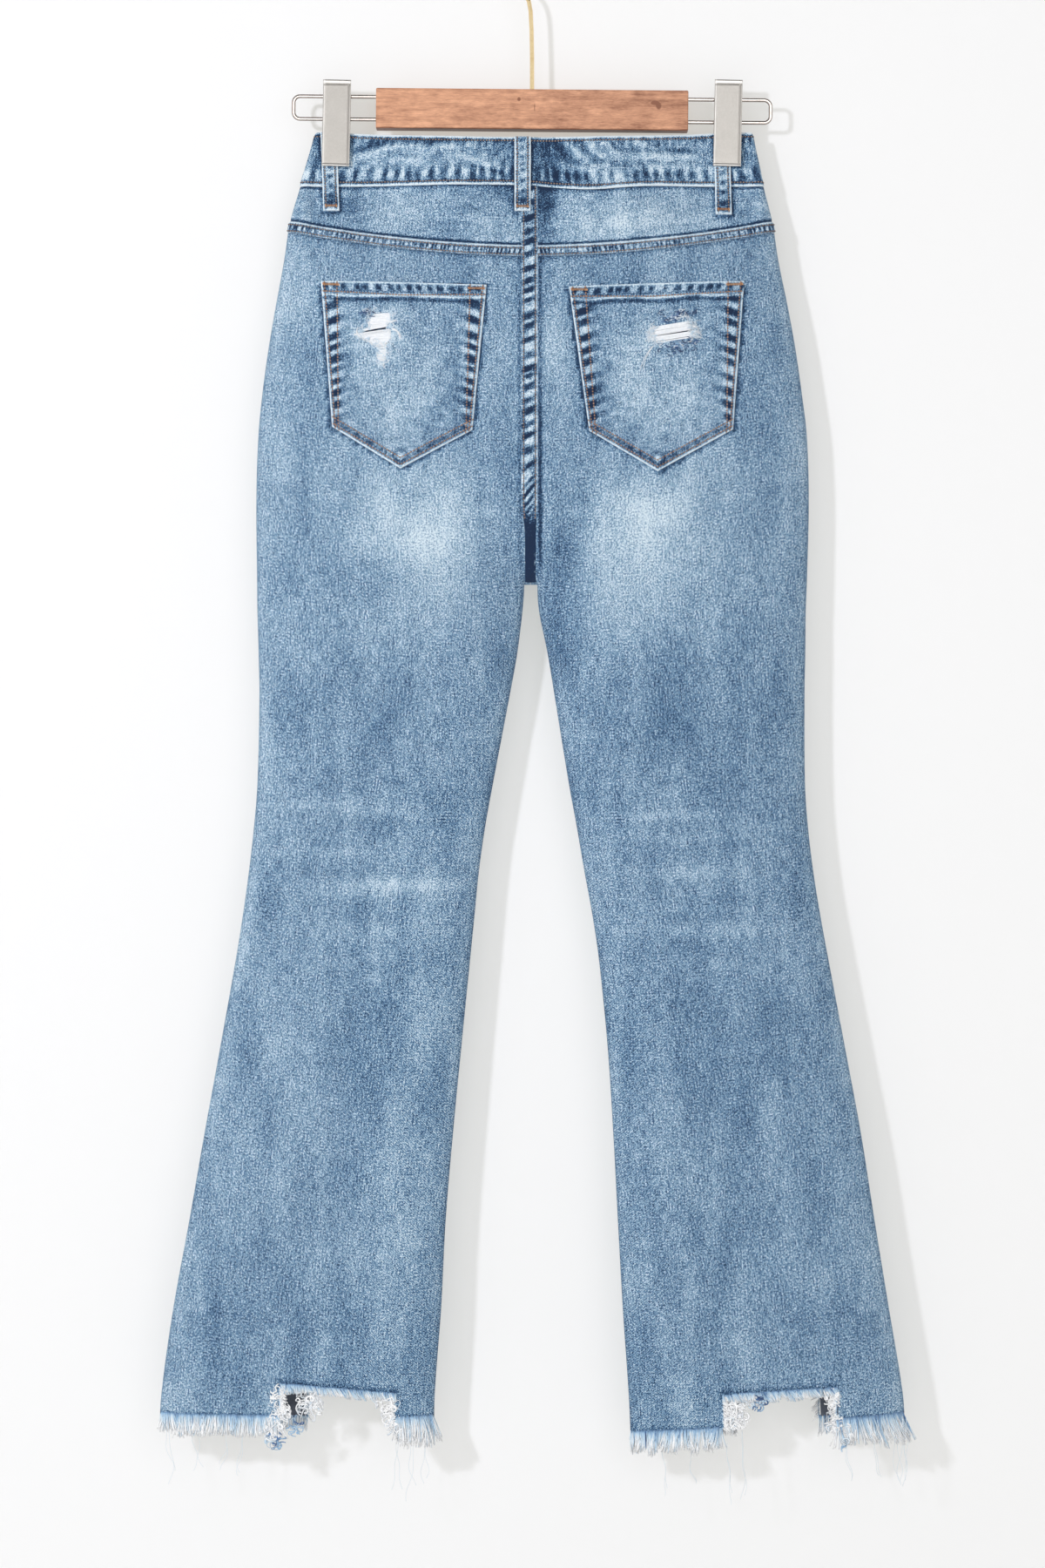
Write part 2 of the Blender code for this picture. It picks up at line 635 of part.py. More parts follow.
# ---- fringe --------------------------------------------------------------------------------
def edge_path(side, face):
    """The cloth's raw edge from the outseam to the inseam, with the way out of the cloth.

    Each entry is (share of the hem's width, drop, sideways part, downward part).
    """
    hem = HEMS[side, face]
    inner, outer = edges_at(side, hem.notch_top_in)

    def level(first, last, line, at_start, at_end):
        """Places along a level stretch, with its corners' sideways parts."""
        count = max(2, round(abs((last - first) * (outer - inner)) / STRAND_SPACING))
        run = []
        for k in range(count + 1):
            share = mix(first, last, k / count)
            sideways = at_start if k == 0 else at_end if k == count else 0.0
            run.append((share, line(side, face, share), sideways, 1.0))
        return run

    def upright(share, first_line, last_line, sideways):
        """Places between the corners of one side of the notch."""
        first, last = first_line(side, face, share), last_line(side, face, share)
        count = max(2, round(abs(last - first) / STRAND_SPACING))
        return [(share, mix(first, last, k / count), sideways, 0.0) for k in range(1, count)]

    return (level(1.0, hem.notch_out, hem_line, 0.0, -1.0)
            + upright(hem.notch_out, hem_line, notch_line, -1.0)
            + level(hem.notch_out, hem.notch_in, notch_line, -1.0, 1.0)
            + upright(hem.notch_in, notch_line, hem_line, 1.0)
            + level(hem.notch_in, 0.0, hem_line, 1.0, 0.0))


def fringe(name, side, face, seed, material, collection):
    """Strands rooted in a narrow strip that runs along the raw edge."""
    path = edge_path(side, face)
    hem = HEMS[side, face]
    inner, outer = edges_at(side, hem.outer)
    width = abs(outer - inner)
    frames = []
    for off in (GAP, GAP + STRIP):
        row = []
        for share, drop, sideways, downward in path:
            moved = min(max(share + sideways * off / width, 0.0), 1.0)
            row.append(outward_frame(side, face, turn_of(moved), drop + downward * off))
        frames.append(row)
    shell, rims = wall_mesh(frames, 0.0, -DENIM)
    chance = random.Random(seed)
    roots = [((1, j), (1, j + 1)) for j in range(len(path) - 1)]
    for j, edge in enumerate(roots):
        root = rims[edge]
        share = (path[j][0] + path[j + 1][0]) / 2.0
        if not SEAM_CLEAR <= share <= 1.0 - SEAM_CLEAR:
            continue
        in_notch = hem.notch_in - 0.01 < share < hem.notch_out + 0.01
        upright = path[j][3] * path[j + 1][3] == 0.0
        from_corner = min(abs(share - hem.notch_in), abs(share - hem.notch_out)) * width
        if in_notch and not upright and from_corner < CORNER_CLEAR:
            continue
        if upright:
            length = chance.uniform(*SIDE_STRANDS)
        elif in_notch:
            length = chance.uniform(*NOTCH_STRANDS)
        else:
            length = chance.uniform(*HEM_STRANDS)
            if share < INNER_SHARE and side < 0:
                length += INNER_FLARE
            if chance.random() < LONG_CHANCE:
                length *= LONG_TIMES
        away = Vector((0.0, 0.0, -1.0))
        if upright:
            aside = path[j][2] if path[j][3] == 0.0 else path[j + 1][2]
            away = Vector((aside * side * 0.8, 0.0, -0.6))
        lean = 0.06 * math.sin(j * 0.7 + seed) + chance.uniform(-0.03, 0.03)
        away = (away + Vector((lean, face * chance.uniform(-0.05, 0.08), 0.0))).normalized()
        grow_strand(shell, root, away, length)
    bmesh.ops.recalc_face_normals(shell, faces=shell.faces)
    return finish_mesh(name, shell, material, collection)


def grow_strand(shell, root, away, length):
    """Draw one root face out into a tapering four-sided strand."""
    face = root
    for stretch, narrowing in ((0.3, 0.42), (0.7, 0.45)):
        grown = bmesh.ops.extrude_discrete_faces(shell, faces=[face])["faces"]
        face = grown[0]
        centre = face.calc_center_median()
        for vert in face.verts:
            vert.co = centre + (vert.co - centre) * narrowing + away * (length * stretch * MM)


# ---- hanger --------------------------------------------------------------------------------
def tube(name, points, radius, material, collection, parent=None):
    """A round wire with filled ends along a list of points."""
    curve = bpy.data.curves.new(name, "CURVE")
    curve.dimensions = "3D"
    line = curve.splines.new("POLY")
    line.points.add(len(points) - 1)
    for target, point in zip(line.points, points):
        target.co = (point[0] * MM, point[1] * MM, point[2] * MM, 1.0)
    curve.bevel_depth = radius * MM
    curve.bevel_resolution = 2
    curve.use_fill_caps = True
    obj = add_object(name, curve, material, collection)
    obj.parent = parent
    return obj


def arc(centre, radius, first, last, steps):
    """Points of an arc in the XZ plane, by angle in degrees from +X."""
    points = []
    for k in range(steps + 1):
        angle = math.radians(mix(first, last, k / steps))
        points.append((centre[0] + radius * math.cos(angle), 0.0, centre[1] + radius * math.sin(angle)))
    return points


def hanger_hook(material, collection):
    """Wire hook: a straight stem out of the bar, a swing to the left and an open round top."""
    ring = HOOK_INSIDE + HOOK_RADIUS
    stem_foot = BAR_CENTRE[2] + BAR_SIZE[2] / 2.0 - SOCKET_DEPTH + GAP
    stem = [(0.0, 0.0, stem_foot)] + [(x, 0.0, z) for x, z in HOOK_STEM]
    points = stem + arc((0.0, -HOOK_INSIDE), ring, *HOOK_SWEEP, 20)
    return tube("hanger_hook", points, HOOK_RADIUS, material, collection)


def wire_loop(name, side, material, collection, parent):
    """Bent wire out of the end of the bar and back into it, in the bar's own frame."""
    start = BAR_SIZE[0] / 2.0 - SOCKET_DEPTH + GAP
    low = WIRE_UP - WIRE_PITCH
    corner = WIRE_END - WIRE_CORNER
    points = [(start, 0.0, WIRE_UP)] + arc((corner, WIRE_UP - WIRE_CORNER), WIRE_CORNER, 90.0, 0.0, 6)
    points += arc((corner, low + WIRE_CORNER), WIRE_CORNER, 0.0, -90.0, 6) + [(start, 0.0, low)]
    return tube(name, [(side * x, y, z) for x, y, z in points], WIRE_RADIUS, material, collection, parent)


def socket_cutter(name, radius, centre, axis, cutters, parent):
    """A round cutter for a blind hole in the bar."""
    mesh = bpy.data.meshes.new(name)
    body = bmesh.new()
    bmesh.ops.create_cone(body, cap_ends=True, segments=12, radius1=radius * MM, radius2=radius * MM,
                          depth=2.0 * SOCKET_DEPTH * MM)
    body.to_mesh(mesh)
    body.free()
    cutter = bpy.data.objects.new(name, mesh)
    cutters.objects.link(cutter)
    cutter.hide_render = True
    cutter.display_type = "WIRE"
    cutter.parent = parent
    cutter.rotation_euler = (0.0, math.radians(90.0), 0.0) if axis == "X" else (0.0, 0.0, 0.0)
    cutter.location = [value * MM for value in centre]
    return cutter


def wooden_bar(material, collection, cutters, parent):
    """Bar with blind holes for the wires in its ends and for the hook in its top."""
    mesh = bpy.data.meshes.new("wooden_bar")
    body = bmesh.new()
    bmesh.ops.create_cube(body, size=1.0, matrix=Matrix.Diagonal([size * MM for size in BAR_SIZE] + [1.0]))
    body.to_mesh(mesh)
    body.free()
    bar = add_object("wooden_bar", mesh, material, collection)
    bar.parent = parent
    eased = bar.modifiers.new("eased_edges", "BEVEL")
    eased.width = 1.0 * MM
    eased.segments = 2
    holes = []
    for side in (-1, 1):
        for height in (WIRE_UP, WIRE_UP - WIRE_PITCH):
            holes.append((WIRE_RADIUS, "X", (side * BAR_SIZE[0] / 2.0, 0.0, height)))
    holes.append((HOOK_RADIUS, "Z", (0.0, 0.0, BAR_SIZE[2] / 2.0)))
    for k, (radius, axis, centre) in enumerate(holes):
        cutter = socket_cutter(f"socket_{k}", radius + SOCKET_CLEAR, centre, axis, cutters, parent)
        hole = bar.modifiers.new(f"socket_{k}", "BOOLEAN")
        hole.operation = "DIFFERENCE"
        hole.object = cutter
    return bar


def clip(name, side, material, collection):
    """Folded sheet clip: a tall plate on the seat side and a rear jaw, joined above the wires."""
    wire_top = BAR_CENTRE[2] + WIRE_UP - side * CLIP_X * math.tan(BAR_TILT) + WIRE_RADIUS
    bridge = wire_top + GAP + CLIP_WIDTH / 2.0 * math.tan(CLIP_LEAN + BAR_TILT)
    front, rear = -CLIP_FRONT, CLIP_REAR
    outline = [(front - CLIP_SHEET, CLIP_FOOT), (front, CLIP_FOOT), (front, bridge), (rear, bridge),
               (rear, CLIP_FOOT + 1.0), (rear + CLIP_SHEET, CLIP_FOOT + 1.0),
               (rear + CLIP_SHEET, bridge + CLIP_SHEET), (front, bridge + CLIP_SHEET),
               (front, CLIP_TOP), (front - CLIP_SHEET, CLIP_TOP)]
    middle = (CLIP_TOP + CLIP_FOOT) / 2.0
    curve = bpy.data.curves.new(name, "CURVE")
    curve.dimensions = "2D"
    curve.fill_mode = "BOTH"
    curve.extrude = CLIP_WIDTH / 2.0 * MM
    line = curve.splines.new("POLY")
    line.points.add(len(outline) - 1)
    line.use_cyclic_u = True
    for target, (y, z) in zip(line.points, outline):
        target.co = (y * MM, (z - middle) * MM, 0.0, 1.0)
    obj = add_object(name, curve, material, collection)
    weld = obj.modifiers.new("joined_caps", "WELD")
    weld.merge_threshold = 0.00001
    eased = obj.modifiers.new("eased_edges", "BEVEL")
    eased.width = 0.35 * MM
    eased.segments = 1
    upright = Matrix(((0.0, 0.0, 1.0), (1.0, 0.0, 0.0), (0.0, 1.0, 0.0))).to_4x4()
    lean = Matrix.Rotation(CLIP_LEAN, 4, "Y")
    obj.matrix_world = Matrix.Translation((side * CLIP_X * MM, 0.0, middle * MM)) @ lean @ upright
    return obj


# ---- the whole part ------------------------------------------------------------------------
def main():
    clear_scene()
    parts = make_collection(PARTS)
    cutters = make_collection("cutters")
    denim = make_material("denim", (0.30, 0.43, 0.60), 0.9)
    thread_ends = make_material("thread_ends", (0.72, 0.80, 0.88), 0.95)
    tape = make_material("zip_tape", (0.16, 0.22, 0.33), 0.9)
    nickel = make_material("brushed_nickel", (0.62, 0.60, 0.57), 0.38, 1.0)
    gold = make_material("gold_wire", (0.85, 0.68, 0.35), 0.25, 1.0)
    brass = make_material("aged_brass", (0.62, 0.47, 0.28), 0.4, 1.0)
    wood = make_material("reddish_wood", (0.48, 0.21, 0.10), 0.5)

    sides = ((-1, "left"), (1, "right"))
    for side, word in sides:
        leg_panel("back_panel_" + word, side, -1, lambda x: yoke_foot(x) + HALF_GAP, (0.5,),
                  BACK_ROWS, denim, parts)
        leg_panel("front_panel_" + word, side, 1, lambda x, s=side: scoop_line(s, x) + HALF_GAP,
                  (0.2, 0.4, 0.6, 0.8), FRONT_ROWS, denim, parts)
        yoke("yoke_" + word, side, denim, parts)
        back_pocket("back_pocket_" + word, side, denim, parts)
        front_facing("front_pocket_facing_" + word, side, denim, parts)
        fringe("hem_fringe_back_" + word, side, -1, 3 + side, thread_ends, parts)
        fringe("hem_fringe_front_" + word, side, 1, 7 + side, thread_ends, parts)
    waistband(denim, parts)
    for name, loop in LOOPS.items():
        belt_loop(name, loop, denim, parts)

    under_panel = -DENIM - GAP
    inside_strip("fly_shield", [-36.0, -24.0, -12.0, -1.0, 12.0], [ZIP_TOP, 80.0, 120.0, 160.0, FLY_LENGTH],
                 under_panel - ZIP_WALL - GAP, DENIM, denim, parts)
    inside_strip("zip_slider", [-9.0, -4.0, 1.0], [ZIP_TOP, SLIDER_FOOT], under_panel, ZIP_WALL, brass, parts)
    inside_strip("zip_tape", [-18.0, -8.0, 2.0, 10.0], [SLIDER_FOOT + GAP, 90.0, 120.0, 155.0, ZIP_FOOT],
                 under_panel, ZIP_WALL, tape, parts)
    button(brass, parts)

    centre = bpy.data.objects.new("bar_centre", None)
    parts.objects.link(centre)
    centre.location = [value * MM for value in BAR_CENTRE]
    centre.rotation_euler = (0.0, BAR_TILT, 0.0)
    wooden_bar(wood, parts, cutters, centre)
    for side, word in sides:
        wire_loop("wire_loop_" + word, side, nickel, parts, centre)
        clip("clip_" + word, side, nickel, parts)
    hanger_hook(gold, parts)


main()
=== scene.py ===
"""Looks of washed flared jeans that hang, seat side forward, from a wooden clip hanger.

Sizes are in millimetres and become metres when a mesh is made. A drop is a distance down from the
waistband's top edge. The face is -1 for the seat side and 1 for the front, and the side is -1 for
the left of the picture and 1 for the right. Wash is -1 where the dye is worn white, 0 in plain
cloth and 1 where it stayed navy.
"""

import math
from collections import namedtuple

import bpy
import numpy as np
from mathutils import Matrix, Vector


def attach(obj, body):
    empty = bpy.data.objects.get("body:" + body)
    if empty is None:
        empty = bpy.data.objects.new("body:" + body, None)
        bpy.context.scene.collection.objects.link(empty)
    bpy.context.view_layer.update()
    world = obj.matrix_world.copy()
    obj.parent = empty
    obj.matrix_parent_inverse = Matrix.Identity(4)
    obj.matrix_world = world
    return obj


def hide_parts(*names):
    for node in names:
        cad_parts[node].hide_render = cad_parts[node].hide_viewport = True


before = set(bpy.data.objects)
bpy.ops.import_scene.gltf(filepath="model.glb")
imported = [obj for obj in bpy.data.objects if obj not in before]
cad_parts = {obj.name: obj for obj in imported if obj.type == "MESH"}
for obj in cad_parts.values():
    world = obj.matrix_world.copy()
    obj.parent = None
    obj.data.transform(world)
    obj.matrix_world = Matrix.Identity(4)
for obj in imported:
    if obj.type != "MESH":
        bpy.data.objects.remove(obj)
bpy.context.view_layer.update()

MM = 0.001
SIDES = ((-1, "left"), (1, "right"))

# ---- sizes that the solids have too --------------------------------------------------------
GAP = 0.3
HALF_GAP = GAP / 2
DENIM = 1.2
BAND_WALL = 2.4
BAND_PROUD = 0.7
FELL_PROUD = 0.6
POCKET_LIFT = DENIM + GAP
WAIST_Z = -156.0
SEAM_X = -1.0
FELL_HALF = 5.25
CROTCH = 363.0
SEAT_BEND = 250.0
WAIST_SAG = 5.0
CLIP_X = 157.0
CLIP_GRIP = 2.1
PINCH_INWARD = (62.0, 143.0)
PINCH_OUTWARD = (173.0, 187.0)
PINCH_DOWN = (30.0, 112.0)
BAND_HEIGHT = 43.6
BAND_DIP = 4.0
BAND_DIP_X = 44.0
BAND_DIP_HALF = 34.0
YOKE_CENTRE = 101.4
YOKE_RISE = 21.0
YOKE_HALF = 195.0
YOKE_CURVE = 1.9
YOKE_BAND = 8.0

Section = namedtuple("Section", "drop left_out left_in right_in right_out back front edge")
L_IN = SEAM_X - FELL_HALF
R_IN = SEAM_X + FELL_HALF
SECTIONS = [Section(*row) for row in [
    # drop, the four outline edges, depth behind and in front of the seams, edge radius
    (0, -173.5, L_IN, R_IN, 176.5, 10, 9, 3), (43, -186.2, L_IN, R_IN, 186, 13, 11, 3.6),
    (72, -194.6, L_IN, R_IN, 193.2, 15.5, 12.5, 4.2), (103, -199.4, L_IN, R_IN, 198, 18, 14, 5),
    (138, -205.8, L_IN, R_IN, 205.2, 20, 15.5, 5.5), (173, -211.8, L_IN, R_IN, 211.6, 22, 16.5, 5.8),
    (208, -216.6, L_IN, R_IN, 216.6, 23.5, 17, 6), (243, -220, L_IN, R_IN, 220.8, 24.5, 17.5, 6),
    (295, -221.6, L_IN, R_IN, 222.4, 25, 18, 6), (CROTCH, -221, L_IN, R_IN, 220.8, 23.5, 17, 5.6),
    (383, -220.8, -7.6, 5.4, 220, 22.6, 16.6, 5.4), (418, -219.8, -11.9, 12.4, 219.6, 21.4, 16, 5.2),
    (453, -219.2, -18.2, 18.2, 219, 20.2, 15.5, 5), (523, -220.8, -31.5, 29.6, 219.4, 18, 14.6, 4.8),
    (558, -223.6, -37.8, 36, 221.8, 17, 14.2, 4.8), (593, -227.6, -42.7, 42, 226, 16.5, 14, 4.8),
    (628, -232.4, -46.2, 48.4, 231.6, 16.5, 14, 4.8), (663, -238, -49.7, 53.6, 238, 16.5, 14, 4.8),
    (733, -250.4, -56.7, 60.6, 251.2, 16.5, 14, 4.6), (803, -263.2, -63.5, 65.2, 264.2, 16.5, 14, 4.6),
    (873, -275.4, -69.4, 68.9, 275.2, 16.5, 14, 4.6), (943, -288.2, -73, 72.8, 286.6, 16, 14, 4.6),
    (1013, -298, -78.2, 77.6, 298, 15.5, 14, 4.6), (1048, -299.6, -78.8, 79.2, 300, 15.5, 14, 4.6),
]]
DROPS = np.array([row.drop for row in SECTIONS], float)

Hem = namedtuple("Hem", "outer inner notch_in notch_out notch_top_in notch_top_out")
HEMS = {
    (-1, -1): Hem(1027.0, 1029.5, 0.141, 0.567, 1010.8, 1002.4),
    (1, -1): Hem(1027.0, 1042.5, 0.337, 0.755, 1011.5, 1005.9),
    (-1, 1): Hem(1031.0, 1034.0, 0.105, 0.470, 1012.5, 1006.4),
    (1, 1): Hem(1030.0, 1040.0, 0.400, 0.700, 1014.5, 1009.5),
}

Pocket = namedtuple("Pocket", "top_in top_out low_in point low_out")
BACK_POCKETS = {
    -1: Pocket((-36.4, 124.6), (-168.7, 121.1), (-47.6, 240.8), (-105.0, 271.6), (-159.6, 238.0)),
    1: Pocket((29.4, 126.0), (169.4, 121.1), (45.5, 241.5), (100.1, 273.7), (160.3, 240.1)),
}
POCKET_HEM = 10.0

Loop = namedtuple("Loop", "face top_x end_x end_drop bow clear")
LOOPS = {
    "belt_loop_back_centre": Loop(-1, -7.7, -7.7, 65.0, 0.8, FELL_PROUD),
    "belt_loop_back_left": Loop(-1, -163.4, -161.0, 63.5, 0.0, 0.0),
    "belt_loop_back_right": Loop(-1, 152.4, 153.6, 66.5, 0.0, 0.0),
    "belt_loop_front_left": Loop(1, -96.0, -97.0, 64.0, 0.8, 0.0),
    "belt_loop_front_right": Loop(1, 96.0, 97.0, 64.0, 0.8, 0.0),
}
LOOP_HALF = 6.4
LOOP_WALL = 1.8
LOOP_STEP = (47.0, 60.0)
LOOP_EASE = 0.25
LOOP_SEWN_EASE = 0.15

FLY_UNDERLAP = -32.0
FLY_OVERLAP = 0.17
FLY_LENGTH = 194.0
SCOOP_WIDTH = 80.0
SCOOP_DEPTH = 84.0
FACING_GAP = 0.6
FACING_DEPTH = 14.0
TAPE_WALL = 1.4
FELL_WALL = 0.8
CLIP_PLATE = 0.28
SCOOP_END = 100.0
BAND_MIDDLE = 20.0

# ---- folds and creases ---------------------------------------------------------------------
Fold = namedtuple("Fold", "face x drop half_width half_length lean depth")
FOLDS = [Fold(*row) for row in [
    # the solids' own folds; lean is the sideways run per unit of drop; a negative depth is a trough
    (-1, 14, 34, 9, 34, 0.12, -2.6), (-1, 46, 30, 16, 40, -0.35, 1.6), (-1, -52, 60, 20, 46, 0.30, 1.4),
    (1, 60, 66, 14, 44, -0.30, -1.6), (1, -74, 62, 15, 42, 0.34, -1.8),
    (-1, -132, 560, 60, 26, 0, -1.4), (-1, 134, 596, 60, 28, 0, -1.4), (1, -130, 548, 58, 26, 0, 1.2),
    (1, 136, 582, 60, 28, 0, 1.2), (-1, -196, 850, 26, 150, -0.18, 1.4),
    (-1, 204, 830, 28, 160, 0.18, 1.4),
]]
CREASES = [Fold(*row) for row in [
    # soft folds behind the knees, one leg and then the other
    (-1, -160, 540, 52, 4.5, 0, 0.7), (-1, -120, 556, 60, 5, 0, -0.6), (-1, -150, 578, 46, 4, 0, 0.6),
    (-1, -118, 604, 66, 6, 0, 0.8), (-1, -164, 622, 40, 5, 0, -0.5), (-1, -122, 648, 54, 6, 0, 0.5),
    (-1, 118, 548, 50, 4.5, 0, 0.7), (-1, 150, 570, 48, 5, 0, -0.6), (-1, 128, 594, 62, 5, 0, 0.8),
    (-1, 164, 616, 44, 5.5, 0, -0.5), (-1, 124, 640, 58, 6, 0, 0.6), (-1, 140, 668, 46, 6, 0, 0.4),
    # drag lines from the clips and the seat's ease, with long shallow folds down the legs
    (-1, -96, 66, 8, 22, -1.4, 0.6), (-1, 92, 64, 8, 22, 1.5, 0.6), (-1, -180, 320, 9, 70, 0.10, -0.8),
    (-1, 188, 300, 9, 80, -0.08, -0.8), (-1, -36, 318, 10, 60, 0.22, -0.9),
    (-1, 30, 322, 10, 60, -0.24, -0.9), (-1, -60, 420, 16, 80, -0.16, 0.8),
    (-1, 62, 430, 16, 80, 0.18, 0.8), (-1, -150, 760, 12, 120, -0.10, -0.9),
    (-1, 152, 780, 12, 120, 0.12, -0.9), (-1, -110, 880, 14, 90, -0.06, 0.7),
    (-1, 118, 900, 14, 90, 0.08, 0.7), (-1, -232, 930, 10, 80, -0.16, -0.7),
    (-1, 240, 940, 10, 80, 0.18, -0.7),
    # the front's own folds: whiskers below the pockets, bent knees and long leg folds
    (1, -70, 214, 6, 44, -2.2, 0.8), (1, -74, 232, 6, 46, -2.6, -0.7), (1, -66, 254, 6, 40, -2.9, 0.7),
    (1, 72, 218, 6, 46, 2.2, 0.8), (1, 78, 238, 6, 44, 2.6, -0.7), (1, 68, 262, 6, 40, 3, 0.7),
    (1, -128, 520, 56, 6, 0, -0.6), (1, -140, 576, 52, 7, 0, -0.6), (1, 132, 534, 54, 6, 0, -0.6),
    (1, 144, 600, 56, 7, 0, -0.6), (1, -148, 770, 13, 130, -0.12, 0.8),
    (1, 150, 760, 13, 130, 0.12, 0.8), (1, -204, 900, 12, 90, -0.16, -0.8),
    (1, 206, 890, 12, 90, 0.16, -0.8),
]]
BAND_CREASES = [Fold(*row) for row in [
    # drag folds in the waistband: an arch from the left clip, slants beside the centre loop, the right half
    (-1, -125, 16, 9, 7, -3.3, 0.8), (-1, -130, 11, 9, 6, -3.3, -0.9), (-1, -78, 12.5, 28, 2.2, 0, 0.6),
    (-1, -82, 7.5, 32, 2.4, 0, -0.8), (-1, -92, 24, 26, 3, 0, 0.4), (-1, -34, 28, 8, 6, 2.9, 0.8),
    (-1, -29, 33, 8, 5, 2.9, -0.7), (-1, -46, 33, 7, 4, 3.2, 0.5), (-1, -160, 20, 3, 14, 0, -0.5),
    (-1, 27, 20, 4, 12, 0.8, -0.9), (-1, 35, 17, 3, 10, 1, 0.7), (-1, 43, 16, 3, 8, 0.9, -0.8),
    (-1, 49.5, 15, 2.8, 8, 0.9, 0.9), (-1, 63, 14, 3, 7, 1.3, 0.7), (-1, 70, 16, 3.4, 7, 1.3, -0.7),
    (-1, 34, 36, 9, 4, 2.4, -0.7), (-1, 36, 30, 9, 4, 2.6, 0.6), (-1, 90, 11, 6, 5, 2.4, 0.5),
    (-1, 112, 20, 34, 2.4, 0.3, 0.6), (-1, 110, 14.5, 34, 2.2, 0.3, -0.6),
    (-1, 118, 29, 30, 2.8, 0.2, 0.5), (-1, 84, 25, 24, 2.4, 0.2, -0.5),
]]

# ---- wash ----------------------------------------------------------------------------------
Patch = namedtuple("Patch", "face x drop half_width half_height lean wash")
WASH = [Patch(*row) for row in [
    # bleached seat and upper thigh
    (-1, -97, 322, 58, 60, 0, -0.50), (-1, 88, 318, 62, 62, 0, -0.62),
    (-1, -100, 400, 44, 44, 0, -0.12), (-1, 92, 396, 44, 44, 0, -0.10),
    (-1, -196, 230, 26, 90, 0, -0.08), (-1, 200, 240, 24, 90, 0, -0.06),
    # broad, slight unevenness over the left leg and the hips
    (-1, -176, 964, 110, 48, 0, 0.16), (-1, -95, 404, 50, 32, 0, 0.09),
    (-1, -179, 138, 22, 44, 0, 0.09), (-1, 200, 270, 24, 80, 0, -0.05),
    (-1, -186, 138, 24, 44, 0, -0.24),
    # the pale middle of the yokes, and painted shade in the hollows beside the loops
    (-1, -96, 70, 60, 16, 0, -0.02), (-1, 84, 72, 56, 20, 0, -0.56), (-1, 10, 50, 11, 34, 0, 1.1),
    (-1, -22, 48, 14, 18, 0.3, 0.60), (-1, -150, 62, 20, 18, 0, 0.25), (-1, 150, 62, 18, 22, 0, 0.28),
    # darker thighs beside the seams
    (-1, -22, 165, 13, 52, 0, -0.12), (-1, 17, 165, 12, 52, 0, -0.20),
    (-1, -30, 340, 18, 90, 0.1, 0.10), (-1, 24, 360, 20, 80, -0.1, 0.50),
    (-1, 120, 464, 70, 50, 0, 0.26), (-1, -115, 466, 76, 44, 0, 0.26),
    # pale knee, with its streaks
    (-1, -140, 620, 70, 90, 0, -0.03), (-1, 140, 620, 70, 90, 0, 0.10), (-1, 150, 770, 80, 60, 0, 0.08),
    (-1, -168, 540, 36, 4.4, 0.04, -0.19), (-1, -112, 545, 32.4, 3.7, 0, -0.21),
    (-1, -176, 552, 27, 4.1, 0, -0.15), (-1, -150, 578, 30.6, 4.4, 0, -0.19),
    (-1, -104, 604, 54, 5.1, 0, -0.32), (-1, -154, 612, 23.4, 3.7, 0, -0.19),
    (-1, -130, 640, 36, 5.1, 0, -0.17), (-1, -160, 664, 27, 5.1, 0, -0.11),
    (-1, 112, 548, 34.2, 3.7, 0, -0.21), (-1, 168, 556, 30.6, 4.4, 0, -0.13),
    (-1, 124, 566, 39.6, 3.7, 0, -0.19), (-1, 140, 594, 39.6, 4.8, 0, -0.21),
    (-1, 108, 622, 27, 4.4, 0, -0.15), (-1, 150, 640, 39.6, 5.4, 0, -0.23),
    (-1, 122, 668, 32.4, 5.1, 0, -0.13),
    # the front, faded on the thighs and knees like the back
    (1, -110, 330, 54, 110, 0, -0.40), (1, 112, 330, 54, 110, 0, -0.40),
    (1, -138, 590, 60, 80, 0, -0.26), (1, 140, 590, 60, 80, 0, -0.26), (1, 0, 120, 24, 70, 0, 0.20),
]]

Weft = namedtuple("Weft", "left left_drop right right_drop broken", defaults=[False])
RIPS = {
    # bare weft threads of the worn-through places, top to bottom; below a broken one the place gapes
    -1: [Weft(-125.6, 148.6, -112.8, 147.4), Weft(-129.0, 152.0, -111.8, 150.6),
         Weft(-130.2, 156.0, -112.6, 154.0), Weft(-130.8, 159.2, -114.6, 156.6),
         Weft(-134.4, 161.8, -116.6, 158.4, True), Weft(-139.4, 164.3, -112.6, 159.9),
         Weft(-137.2, 166.2, -112.0, 163.4), Weft(-133.0, 168.2, -112.2, 166.8),
         Weft(-129.4, 170.6, -113.4, 169.6), Weft(-126.2, 173.0, -116.2, 172.2),
         Weft(-122.6, 175.6, -116.0, 175.0), Weft(-121.0, 178.2, -116.6, 178.0),
         Weft(-121.2, 181.0, -117.6, 181.0), Weft(-123.0, 184.2, -116.4, 184.0),
         Weft(-121.2, 186.6, -118.2, 186.4)],
    1: [Weft(96.5, 159.4, 125.0, 154.0), Weft(95.2, 162.4, 127.4, 157.0),
        Weft(95.0, 166.2, 127.0, 160.4, True), Weft(95.2, 167.0, 129.0, 161.9),
        Weft(96.6, 170.0, 130.2, 164.6), Weft(101.0, 172.4, 130.4, 167.0)],
}
RIP_RISE = {-1: 0.62, 1: 1.05}
CRUMPLES = {
    # darker, matted cloth beside the worn places: centre and half sizes
    -1: [(-131.0, 147.0, 7.0, 3.4)],
    1: [(115.0, 149.6, 12.0, 4.2), (119.0, 173.4, 13.0, 4.6)],
}
WEFT_GAP = 0.46
RIP_HAIRS = 150
Lock = namedtuple("Lock", "x drop reach turn bend threads")
